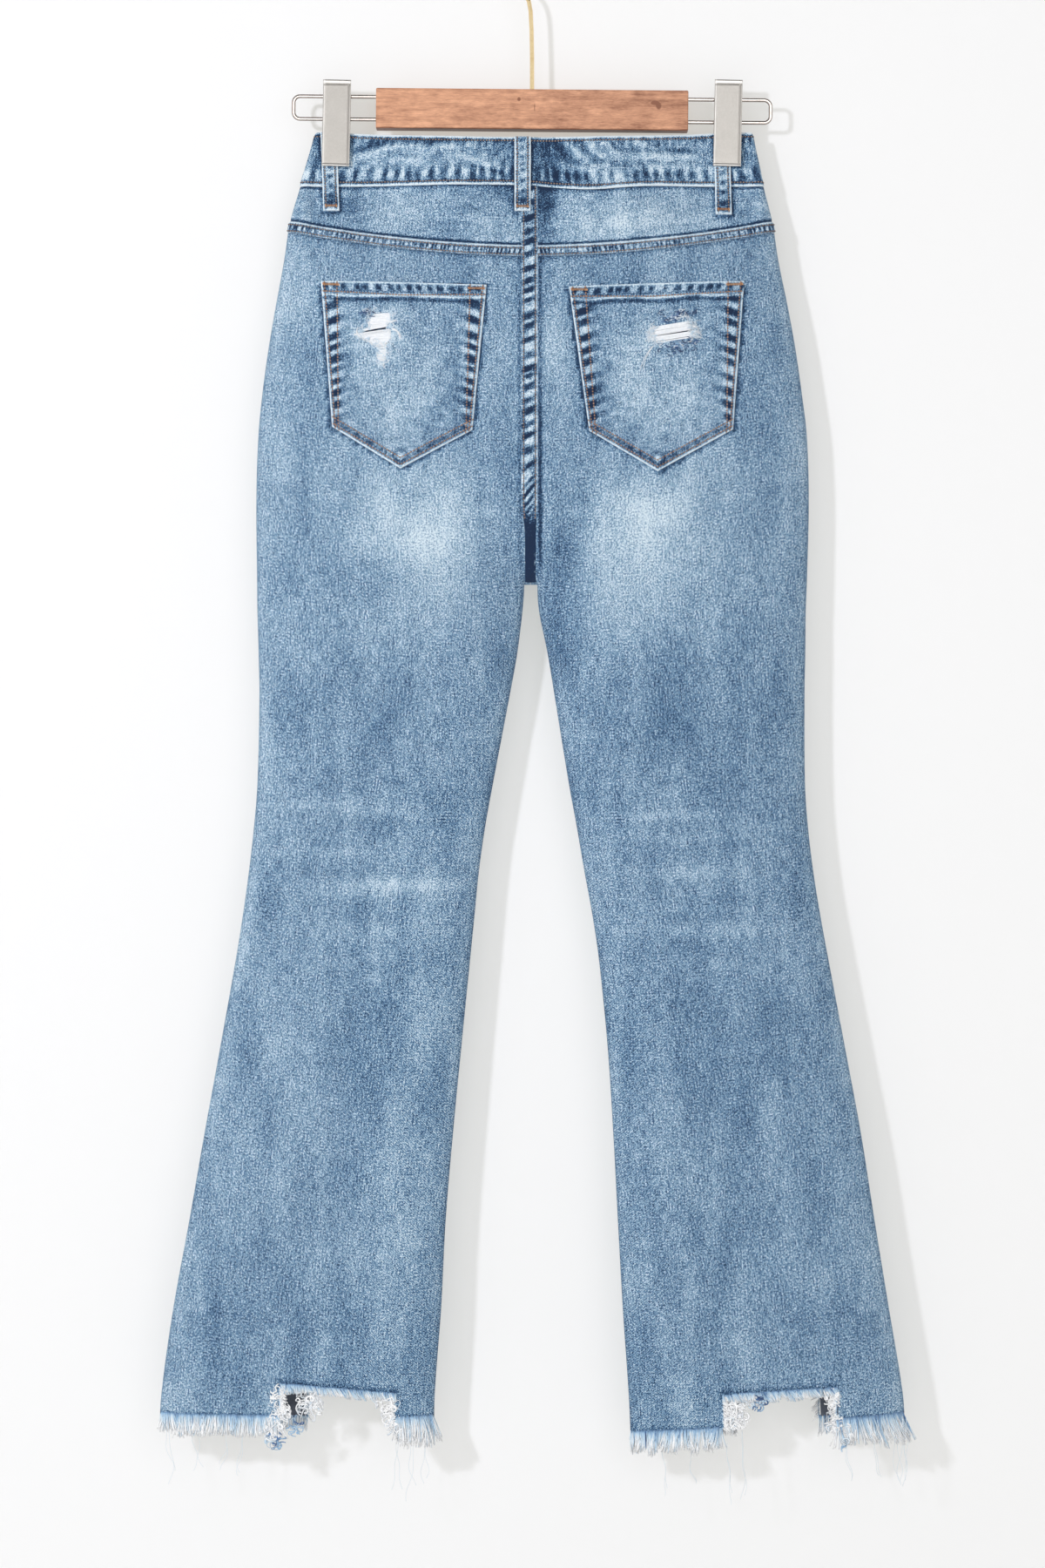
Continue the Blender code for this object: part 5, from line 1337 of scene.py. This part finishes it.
# ---- belt loops ----------------------------------------------------------------------------
def belt_loop(name, loop):
    drop = even(-1.0, loop.end_drop, 1.15)[:, None]
    across = np.linspace(-1.0, 1.0, 21)[None, :]
    on_cloth = np.maximum(drop, 0.0)
    x = mix(loop.top_x, loop.end_x, on_cloth / loop.end_drop) + LOOP_HALF * across
    lowered = on_cloth + waist_top(x) * np.maximum(1.0 - on_cloth / 40.0, 0.0)
    on_band = 1.0 - smooth(*LOOP_STEP, drop)
    arch = loop.bow * np.sin(np.pi * np.minimum(on_cloth / 50.0, 1.0))
    lift = GAP + arch + mix(LOOP_SEWN_EASE + loop.clear, LOOP_EASE + BAND_PROUD, on_band) + LOOP_WALL
    blobs = pucker(drop + across * 1.5, knots(70.0, 7.5, 90 + len(name)))
    lift = lined(lift, (0.25 * blobs, across, 0.0, 0.4)) - 0.45 * np.abs(across) ** 8
    lift = lined(lift, (-0.2, np.abs(across), 0.66, 0.1), (-0.6, drop, loop.end_drop, 0.8),
                 (-0.6, drop, -1.0, 1.0))
    points, normal = skin(loop.face, x, lowered, lift)
    wash = -0.34 - 0.25 * near(drop, 30.0, 14.0) + 1.55 * blobs * near(across, 0.0, 0.42)
    wash = wash + 0.35 * cloudy(x, drop, 3.0, 3.0, 91) + 0.60 * near(drop, loop.end_drop - 8.0, 5.0)
    wash = wash + 0.85 * near(np.abs(across), 0.66, 0.13) - 1.9 * smooth(0.84, 0.95, np.abs(across))
    wash = wash - 1.7 * near(drop, loop.end_drop, 1.3)
    cloth = shell(name + "_cloth", points, wash, LOOP_WALL, [denim, denim], [name], normals=normal)
    rows = np.arange(0.5, drop.shape[0] - 1.5, 0.8)
    for column in (3.6, 16.4):
        sew_on("brown_topstitching", cloth, rows, column)
    return cloth


for name, loop in LOOPS.items():
    cloths[name] = belt_loop(name, loop)


# ---- front: facings, fly and zip -------------------------------------------------------------
def front_facing(side, word):
    turns = np.linspace(0.55, 1.0, 40)
    top = crossing(side, turns, lambda x: waist_foot(x) + HALF_GAP)
    foot = crossing(side, turns, lambda x: scoop_line(side, x) + FACING_DEPTH)
    drop = np.array([mix(top, foot, share) for share in np.linspace(0.0, 1.0, 30)])
    x = x_at(side, turns[None, :], drop)
    base = place(side, 1, x, drop)
    normal = outward(base)
    normal[:, -1, 1] = 0.0
    points = base - unit(normal) * (DENIM + FACING_GAP)
    return shell("pocket_facing_" + word, points, patches(1, x, drop) + 0.25, DENIM, [denim, reverse],
                 ["front_pocket_facing_" + word])


def inside_strip(name, columns, drops, lift, wall, materials, node_name):
    """A strip that lies behind the front panels."""
    x, drop = np.meshgrid(np.linspace(*columns), np.linspace(*drops))
    points, normal = skin(1, x, drop, lift)
    cloth = shell(name, points, np.full(x.shape, 0.3), wall, materials, [node_name], normals=normal)
    return cloth


for side, word in SIDES:
    cloths["facing", side] = front_facing(side, word)
cloths["shield"] = inside_strip("fly_shield_cloth", (-36.0, 12.0, 22), (49.0, FLY_LENGTH, 60),
                                -DENIM - GAP - TAPE_WALL - GAP, DENIM, [denim, reverse], "fly_shield")
cloths["tape"] = inside_strip("zip_tape_cloth", (-18.0, 10.0, 12), (61.3, 186.0, 50),
                              -DENIM - GAP, TAPE_WALL, [tape, tape], "zip_tape")


def sew_front(x, drop):
    """Stitches through places on the front."""
    sew("brown_topstitching", *skin(1, x, drop))


FLY_BEND = 160.0
fly_drop = np.linspace(48.0, FLY_BEND, 90)
bend = np.linspace(0.0, np.pi / 2.0, 40)[1:-2]
for inset in (36.0, 30.0):
    sew_front(np.concatenate([np.full(fly_drop.shape, SEAM_X - inset), SEAM_X - inset * np.cos(bend)]),
              np.concatenate([fly_drop, FLY_BEND + inset * np.sin(bend)]))
front_drop = np.linspace(52.0, 340.0, 260)
for offset in (2.0, 7.0):
    sew_front(np.full(front_drop.shape, SEAM_X + offset), front_drop)
for side in (-1, 1):
    for inset in (1.8, 7.5):
        reach = np.linspace(0.0, 1.0, 160)[4:-3]
        mouth_x = side * (scoop_corner(side) - reach * SCOOP_WIDTH)
        mouth = waist_foot(mouth_x) + SCOOP_DEPTH * np.sqrt(1.0 - reach ** 2)
        fall = np.gradient(mouth, mouth_x)
        norm = np.sqrt(1.0 + fall ** 2)
        sew_front(mouth_x - fall / norm * inset, mouth + inset / norm)


# ---- bartacks ------------------------------------------------------------------------------
Tack = namedtuple("Tack", "face x drop length lean lift")
ON_POCKET = POCKET_LIFT + 1.25
TACKS = [Tack(*row) for row in [
    # at the pockets' corners, then at the belt loops' ends
    (-1, -44.5, 127.6, 13, 0, ON_POCKET), (-1, -160.5, 124, 13, 0.05, ON_POCKET),
    (-1, 37.5, 128.6, 13, 0, ON_POCKET), (-1, 161.5, 124, 13, -0.05, ON_POCKET),
    (-1, -7.7, 61.6, 9.5, 0, 3.1), (-1, -161.1, 59.8, 9.5, 0, 2.5), (-1, 153.5, 62.8, 9.5, 0, 2.5),
    (1, -97, 60, 9.5, 0, 2.3), (1, 97, 60, 9.5, 0, 2.3),
]]
TACK_POINTS = 36


def bartacks():
    """Dense zigzag stitches that hold the pockets' corners and the loops."""
    turned = np.arange(TACK_POINTS) % 2 == 0
    zigzag = np.where(turned, -0.85, 0.85)
    paths = []
    for tack in TACKS:
        along = np.linspace(-0.5, 0.5, TACK_POINTS) * tack.length
        paths.append(skin(tack.face, tack.x + along, tack.drop + along * tack.lean + zigzag, tack.lift)[0])
    paths = np.array(paths)
    # the zigzag's turns are painted darker, as shade where the thread dives into the cloth
    tips = np.broadcast_to(np.where(turned, 0.35, 0.95), paths.shape[:2])
    tubes("bartacks", paths, np.full(paths.shape[:2], 0.46), tack_thread, tips=tips, sides=5)


bartacks()
finish_sewing("brown_topstitching", brown_thread)
finish_sewing("tan_topstitching", tan_thread)


# ---- fringe --------------------------------------------------------------------------------
def fringe(name, side, face, seed, node_name, spacing):
    """Dense frayed yarns along a raw stepped hem, combed into locks."""
    rng = np.random.default_rng(seed)
    hem, look = HEMS[side, face], FRINGES[side, face]
    inner, outer = edges_at(side, np.array(hem.notch_top_in))
    width = float(abs(outer - inner))
    shares, starts, ways, bends, lengths, paler = [], [], [], [], [], []

    def locks(along, wide, key):
        return cloudy(along, 0.0, wide, 1.0, seed + key)

    def level(first, last, line, longest, lean_first, lean_last, lock_lean, pale):
        count = int(abs(last - first) * width / spacing)
        at = np.linspace(0.0, 1.0, count)
        share = np.clip(mix(first, last, at) + rng.uniform(-0.6, 0.6, count) * spacing / width, 0.002, 0.998)
        along = share * width + 300.0
        shares.append(share)
        starts.append(line(side, face, share) - 0.8)
        lean = mix(lean_first, lean_last, at) + lock_lean * locks(along, 3.4, 1)
        lean = lean + rng.normal(0.0, 0.07, count)
        ways.append(np.stack([lean, np.ones(count)], axis=1))
        bends.append(0.20 * locks(along, 5.0, 2) + rng.normal(0.0, 0.06, count))
        lengths.append(longest * (0.86 + 0.13 * locks(along, 6.0, 3) + rng.uniform(-0.14, 0.08, count)))
        paler.append(pale + 0.18 * locks(along, 1.6, 4) + rng.normal(0.0, 0.17, count))

    def upright(share_at, way):
        first, last = notch_line(side, face, share_at), hem_line(side, face, share_at)
        count = int(abs(last - first) / spacing)
        shares.append(np.full(count, share_at))
        starts.append(np.linspace(first, last, count))
        ways.append(np.stack([np.full(count, way * side * 0.8), rng.uniform(0.3, 0.9, count)], axis=1))
        bends.append(rng.normal(0.0, 0.1, count))
        lengths.append(rng.uniform(4.0, 8.0, count))
        paler.append(rng.uniform(0.2, 0.4, count))

    for _ in range(2):
        level(0.0, hem.notch_in, hem_line, look.inner, look.inner_lean, look.inner_lean * 0.3, 0.12, 0.0)
        level(hem.notch_out, 1.0, hem_line, look.outer, look.outer_lean * 0.2, look.outer_lean, 0.12, 0.0)
        level(hem.notch_in, hem.notch_out, notch_line, look.notch, 0.35, 0.35, 0.45, -0.12)
    upright(hem.notch_in, 1.0)
    upright(hem.notch_out, -1.0)
    share, start, bend = np.concatenate(shares), np.concatenate(starts), np.concatenate(bends)[:, None]
    way, length = np.concatenate(ways), np.concatenate(lengths)[:, None]
    steps = 6
    k = np.linspace(0.0, 1.0, steps)[None, :]
    count = len(share)
    curl = rng.normal(0.0, 0.35, (count, 1)) * np.sin(np.pi * k) + rng.normal(0.0, 0.3, (count, 1)) * k * k
    root_x = mix(inner, outer, share)[:, None]
    root_x = np.where(np.abs(root_x - inner) < 2.2, inner + side * 2.2, root_x)
    x = root_x + way[:, :1] * length * k + bend * length * k * k + curl
    drop = start[:, None] + way[:, 1:] * length * k * (1.0 - 0.06 * k)
    depth = np.maximum(depth_at(side, face, root_x[:, 0], start) - DENIM / 2.0, 0.3)[:, None]
    drift = rng.normal(0.0, 0.5, (count, 1)) * k + rng.uniform(-0.55, 0.75, (count, 1))
    paths = np.stack([x, face * np.maximum(depth + drift, 0.25), WAIST_Z - drop], axis=-1)
    radii = rng.uniform(0.38, 0.64, (count, 1)) * (1.0 - 0.20 * k ** 2)
    tips = 0.20 + 0.80 * k ** 0.6 + np.concatenate(paler)[:, None] * np.minimum(k * 4.0, 1.0)
    piece = tubes(name, paths, radii, frayed, tips=np.clip(tips, 0.0, 1.0), sides=3)
    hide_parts(node_name)
    return piece


Fray = namedtuple("Fray", "inner outer notch inner_lean outer_lean")
FRINGES = {
    # lengths of the frayed yarns at the hem's inner and outer parts and at the notch's top, and their lean
    (-1, -1): Fray(29.0, 20.5, 9.5, 0.30, -0.06),
    (1, -1): Fray(23.0, 28.0, 9.5, -0.06, 0.30),
    (-1, 1): Fray(18.0, 15.0, 7.0, 0.10, -0.04),
    (1, 1): Fray(16.0, 18.0, 7.0, -0.04, 0.10),
}
for side, word in SIDES:
    for face, half in ((-1, "back"), (1, "front")):
        fringe(f"frayed_hem_{half}_{word}", side, face, 100 + 10 * face + side,
                                     f"hem_fringe_{half}_{word}", 0.42 if face < 0 else 0.9)


Tangle = namedtuple("Tangle", "x drop half_width half_height threads tone")
TANGLES = [Tangle(*row) for row in [
    # curled yarns beside the notches; the tone is 1 where they are bleached and 0.2 where still blue
    (-204, 1013, 4.5, 9, 16, 1), (-203, 1026, 8, 10, 26, 1), (-209, 1038, 8, 8, 20, 0.95),
    (-178, 1018, 9, 12, 30, 0.95), (-205, 1048, 7, 6, 16, 0.33), (-190, 1036, 6, 7, 12, 0.34),
    (-113, 1024, 6.5, 12, 28, 1), (-110, 1038, 5.5, 8, 14, 0.95), (-124, 1017, 5, 4, 8, 0.9),
    (164, 1028, 8.5, 9.5, 54, 1), (178, 1017, 12, 4, 12, 0.80), (181, 1018, 6, 5.5, 9, 0.24),
    (240, 1017, 5, 9, 22, 1), (241, 1032, 6, 8, 20, 1), (252, 1042, 4, 6, 6, 0.9),
    (250.5, 1051, 2.6, 9, 7, 0.58),
]]
Strand = namedtuple("Strand", "x drop length sway")
LOOSE_STRANDS = [Strand(*row) for row in [
    # long single yarns that hang below the hems
    (-292, 1030, 56, 6), (-270, 1034, 44, -8), (-246, 1036, 38, 5), (-232, 1038, 46, 4),
    (-108, 1040, 52, -4), (-96, 1042, 60, 5), (-86, 1044, 48, 3), (104, 1052, 46, -5),
    (128, 1052, 40, 4), (156, 1050, 56, -4), (168, 1040, 66, 3), (252, 1040, 44, 4),
    (276, 1036, 52, -5), (292, 1034, 58, 5), (297, 1030, 66, 4), (300, 1030, 60, -3),
]]


def tangles():
    """Curled loose yarns that cling beside the hems' notches, and the long single ones below the hems."""
    rng = np.random.default_rng(131)
    steps = 20
    wander = np.ones(5)
    paths, radii, tips = [], [], []
    for tangle in TANGLES:
        side = -1 if tangle.x < 0 else 1
        limit = np.array([tangle.half_width, tangle.half_height])
        for _ in range(tangle.threads):
            hair = rng.random() < 0.35
            turning = 0.14 * rng.choice([-1.0, 1.0])
            turning = turning + np.convolve(rng.normal(0.0, 0.42, steps + 4), wander / 2.2, "valid")
            bend = np.cumsum(turning) + rng.uniform(0.0, 6.3)
            start = rng.uniform(-1.0, 1.0, 2) * limit * 0.85
            moved = np.cumsum(np.stack([np.cos(bend), np.sin(bend) + 0.22], axis=1), axis=0) * 1.25 + start
            moved = moved / max(np.hypot(*(moved / (1.25 * limit)).T).max(), 1.0)
            x, drop = tangle.x + moved[:, 0], tangle.drop + moved[:, 1]
            rise = np.convolve(rng.normal(0.0, 0.8, steps + 4), wander / 2.0, "valid")
            depth = depth_at(side, -1, x, np.minimum(drop, 1040.0)) - 0.3 + rise
            paths.append(np.stack([x, -np.maximum(depth, 0.5), WAIST_Z - drop], axis=-1))
            thick = rng.uniform(0.16, 0.28) if hair else rng.uniform(0.50, 0.85)
            radii.append(thick * (1.0 - 0.4 * np.linspace(0.0, 1.0, steps) ** 3))
            tips.append(np.full(steps, np.clip(tangle.tone + rng.normal(0.0, 0.12), 0.05, 1.0)))
    for strand in LOOSE_STRANDS:
        side = -1 if strand.x < 0 else 1
        k = np.linspace(0.0, 1.0, steps)
        for _ in range(2):
            phase, reach = rng.uniform(0.0, 6.3), rng.uniform(0.7, 1.0)
            x = strand.x + strand.sway * k * np.sin(3.0 * k + phase) + 1.4 * np.sin(11.0 * k + phase) * k
            drop = strand.drop + strand.length * reach * k
            depth = depth_at(side, -1, np.clip(strand.x, -290.0, 290.0), 1035.0) - 1.0
            depth = depth + 1.5 * np.sin(5.0 * k + phase)
            paths.append(np.stack([x, -np.maximum(depth, 0.5), WAIST_Z - drop], axis=-1))
            radii.append(np.full(steps, 0.16))
            tips.append(np.full(steps, 0.76))
    tubes("tangled_yarns", np.array(paths), np.array(radii), frayed, tips=np.array(tips))


tangles()


# ---- hanger --------------------------------------------------------------------------------
BAR_MIDDLE = -137.9
BAR_TILT = math.radians(0.5)
WIRE_RADIUS = 1.55
WIRE_UP = 10.0
WIRE_DOWN = -8.2
WIRE_START = 117.0
WIRE_END = 191.7
WIRE_CORNER = 5.2


def wire_loop(name, side, node_name):
    """Round wire bent out of the bar's end, round two square corners and back."""
    bend = np.linspace(0.0, np.pi / 2.0, 9)
    corner = WIRE_END - WIRE_CORNER
    run = even(WIRE_START, corner, 8.0)[:-1]
    x = np.concatenate([run, corner + WIRE_CORNER * np.sin(bend),
                        corner + WIRE_CORNER * np.cos(bend), run[::-1]])
    z = np.concatenate([np.full(run.shape, WIRE_UP), WIRE_UP - WIRE_CORNER * (1.0 - np.cos(bend)),
                        WIRE_DOWN + WIRE_CORNER * (1.0 - np.sin(bend)), np.full(run.shape, WIRE_DOWN)])
    x = side * x
    path = np.stack([x * math.cos(BAR_TILT) + z * math.sin(BAR_TILT), np.zeros(x.shape),
                     BAR_MIDDLE + z * math.cos(BAR_TILT) - x * math.sin(BAR_TILT)], axis=-1)[None]
    piece = tubes(name, path, np.full(path.shape[:2], WIRE_RADIUS), bright_wire,
                  sides=20)
    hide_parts(node_name)


for side, word in SIDES:
    wire_loop("bent_wire_" + word, side, "wire_loop_" + word)
NODE_LOOKS = {"clip_left": nickel, "clip_right": nickel, "wooden_bar": wood, "hanger_hook": gold,
              "button": brass, "zip_slider": brass}
for node_name, material in NODE_LOOKS.items():
    for material_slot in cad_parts[node_name].material_slots:
        material_slot.link = "OBJECT"
        material_slot.material = material

CLIP_HALF = 10.75
CLIP_MIDDLE = -149.0
CLIP_TALL = 34.2
CLIP_FACE = 7.1
CLIP_LEAN = math.radians(1.2)
CLIP_RIM = 0.35
CLIP_WRAP = 5.6


def clip_face(name, side):
    """Pressed face of a clip, with its rolled rim, a groove by the right edge and the rim wrapped round."""
    out = CLIP_HALF + CLIP_RIM
    tall = CLIP_TALL + CLIP_RIM
    across = np.concatenate([[-out], np.linspace(-out, -8.4, 12), np.linspace(-8.4, 8.0, 10)[1:],
                             np.linspace(8.0, out, 18)[1:], [out]])[None, :]
    height = np.concatenate([[tall], np.linspace(tall, tall - 5.0, 24),
                             np.linspace(tall - 5.0, -tall + 3.0, 16)[1:],
                             np.linspace(-tall + 3.0, -tall, 14)[1:], [-tall]])[:, None]
    across, height = np.broadcast_arrays(across, height)
    from_top, from_foot = tall - height, height + tall
    roll = 0.45 * smooth(0.0, 0.7, from_top) * (1.0 - smooth(2.9, 3.4, from_top))
    raised = np.maximum(roll, 0.30 * near(across, -out + 0.9, 0.9) + 0.22 * near(across, out - 0.7, 0.7))
    raised = lined(raised, (-0.42 * (from_top > 3.2), across, out - 2.0, 0.42), (-0.30, from_top, 3.7, 0.4),
                   (0.30, from_foot, 0.9, 0.7), (-0.16, from_foot, 2.2, 0.4))
    raised = raised * smooth(-0.3, 0.7, out - np.abs(across)) * smooth(-0.2, 0.6, from_foot)
    depth = CLIP_FACE + 0.35 + raised
    wrapped = np.zeros(depth.shape, bool)
    wrapped[0], wrapped[-1], wrapped[:, 0], wrapped[:, -1] = True, True, True, True
    depth = np.where(wrapped, CLIP_WRAP, depth)
    turned_x = np.sign(across) * smooth(out - 0.5, out, np.abs(across)) * 2.0
    turned_z = smooth(tall - 0.5, tall, height) * 2.0 - smooth(tall - 0.5, tall, -height) * 2.0

    def leaned(right, up):
        return (right * math.cos(CLIP_LEAN) + up * math.sin(CLIP_LEAN),
                up * math.cos(CLIP_LEAN) - right * math.sin(CLIP_LEAN))

    x, z = leaned(across, height)
    normal_x, normal_z = leaned(turned_x, turned_z)
    points = np.stack([side * CLIP_X + x, -depth, CLIP_MIDDLE + z], axis=-1)
    normals = unit(np.stack([normal_x, -np.ones(depth.shape), normal_z], axis=-1))
    # painted highlight: the rolled top, the bottom strip and the left edge are painted near-white
    painted_highlight = lined(0.0, (1.0, from_top, 1.9, 0.9), (0.8, from_foot, 1.2, 0.8),
                     (0.6, across, -out + 0.9, 0.7))
    made = shell(name, points, np.minimum(painted_highlight, 1.0), CLIP_PLATE, [nickel], [], normals=normals)


for side, word in SIDES:
    clip_face("clip_face_" + word, side)


for side, word in SIDES:
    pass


# ---- wall, floor, light and camera ---------------------------------------------------------
def plain_sheet(name, corners, material):
    mesh = bpy.data.meshes.new(name)
    mesh.from_pydata([[value * MM for value in corner] for corner in corners], [], [(0, 1, 2, 3)])
    mesh.materials.append(material)
    made = bpy.data.objects.new(name, mesh)
    bpy.context.scene.collection.objects.link(made)


def pale_material(name, colour, see_through):
    """Matt paint; where see_through is set it glows a little and can't be seen from behind."""
    material, tree, shader = new_material(name, 0.9)
    shader.inputs["Base Color"].default_value = linear(*colour)
    if see_through:
        shader.inputs["Emission Color"].default_value = GLOW_COLOUR
        shader.inputs["Emission Strength"].default_value = WALL_GLOW
        clear = node(tree, "BsdfTransparent")
        behind = node(tree, "NewGeometry").outputs["Backfacing"]
        either = node(tree, "MixShader", {0: behind, 1: shader.outputs[0], 2: clear.outputs[0]})
        tree.links.new(either.outputs[0], tree.nodes["Material Output"].inputs["Surface"])
    return material


def wall_point(x, z):
    return (x, WALL_Y + (WALL_LEVEL - z) * math.tan(WALL_LEAN), z)


plain_sheet("back_wall", [wall_point(-STAGE_HALF, WALL_TOP), wall_point(-STAGE_HALF, WALL_FOOT),
                          wall_point(STAGE_HALF, WALL_FOOT), wall_point(STAGE_HALF, WALL_TOP)],
            pale_material("pale_wall", (184, 185, 193), True))
plain_sheet("floor", [(-STAGE_HALF, FLOOR_FRONT, FLOOR_Z), (STAGE_HALF, FLOOR_FRONT, FLOOR_Z),
                      (STAGE_HALF, FLOOR_BACK, FLOOR_Z), (-STAGE_HALF, FLOOR_BACK, FLOOR_Z)],
            pale_material("pale_floor", (240, 240, 238), False))


LIGHT_AIM = Vector((0.0, 0.0, -0.65))


def soft_light(name, centre, size, power, in_gloss=True):
    lamp = bpy.data.lights.new(name, "AREA")
    lamp.shape = "DISK"
    lamp.size = size
    lamp.energy = power
    made = bpy.data.objects.new(name, lamp)
    bpy.context.scene.collection.objects.link(made)
    made.location = centre
    made.visible_glossy = in_gloss
    made.rotation_euler = (LIGHT_AIM - Vector(centre)).to_track_quat("-Z", "Y").to_euler()


soft_light("key_light", (-1.65, -2.6, 0.2), size=0.22, power=45.0, in_gloss=False)
soft_light("front_fill", (0.5, -3.6, -0.4), size=4.0, power=46.0)
soft_light("rear_light", (1.2, 3.2, 0.6), size=1.6, power=40.0)
world = bpy.data.worlds.new("studio")
bpy.context.scene.world = world
world.use_nodes = True
sky = world.node_tree
sky.nodes["Background"].inputs["Color"].default_value = (1.0, 1.0, 1.0, 1.0)
# an even dome for matt surfaces; shiny ones see it bright near the horizon and dark overhead and below
to_sky = node(sky, "SeparateXYZ", {0: node(sky, "TexCoord").outputs["Generated"]})
steep = node(sky, "MapRange", {0: maths(sky, "ABSOLUTE", to_sky.outputs[2]),
                               1: 0.30, 2: 0.55, 3: 0.9, 4: 0.04})
in_gloss = node(sky, "LightPath").outputs["Is Glossy Ray"]
level = node(sky, "Mix", {0: in_gloss, 2: 0.40, 3: steep.outputs[0]}, data_type="FLOAT")
sky.links.new(level.outputs[0], sky.nodes["Background"].inputs["Strength"])
bpy.context.scene.view_settings.view_transform = "Standard"

lens = bpy.data.cameras.new("camera")
lens.sensor_fit = "VERTICAL"
lens.sensor_height = 36.0
lens.lens = LENS
lens.clip_end = 20.0
camera = bpy.data.objects.new("camera", lens)
bpy.context.scene.collection.objects.link(camera)
camera.location = (VIEW_X * MM, -VIEW_DISTANCE * MM, VIEW_Z * MM)
camera.rotation_euler = (math.radians(90.0), 0.0, 0.0)
bpy.context.scene.camera = camera
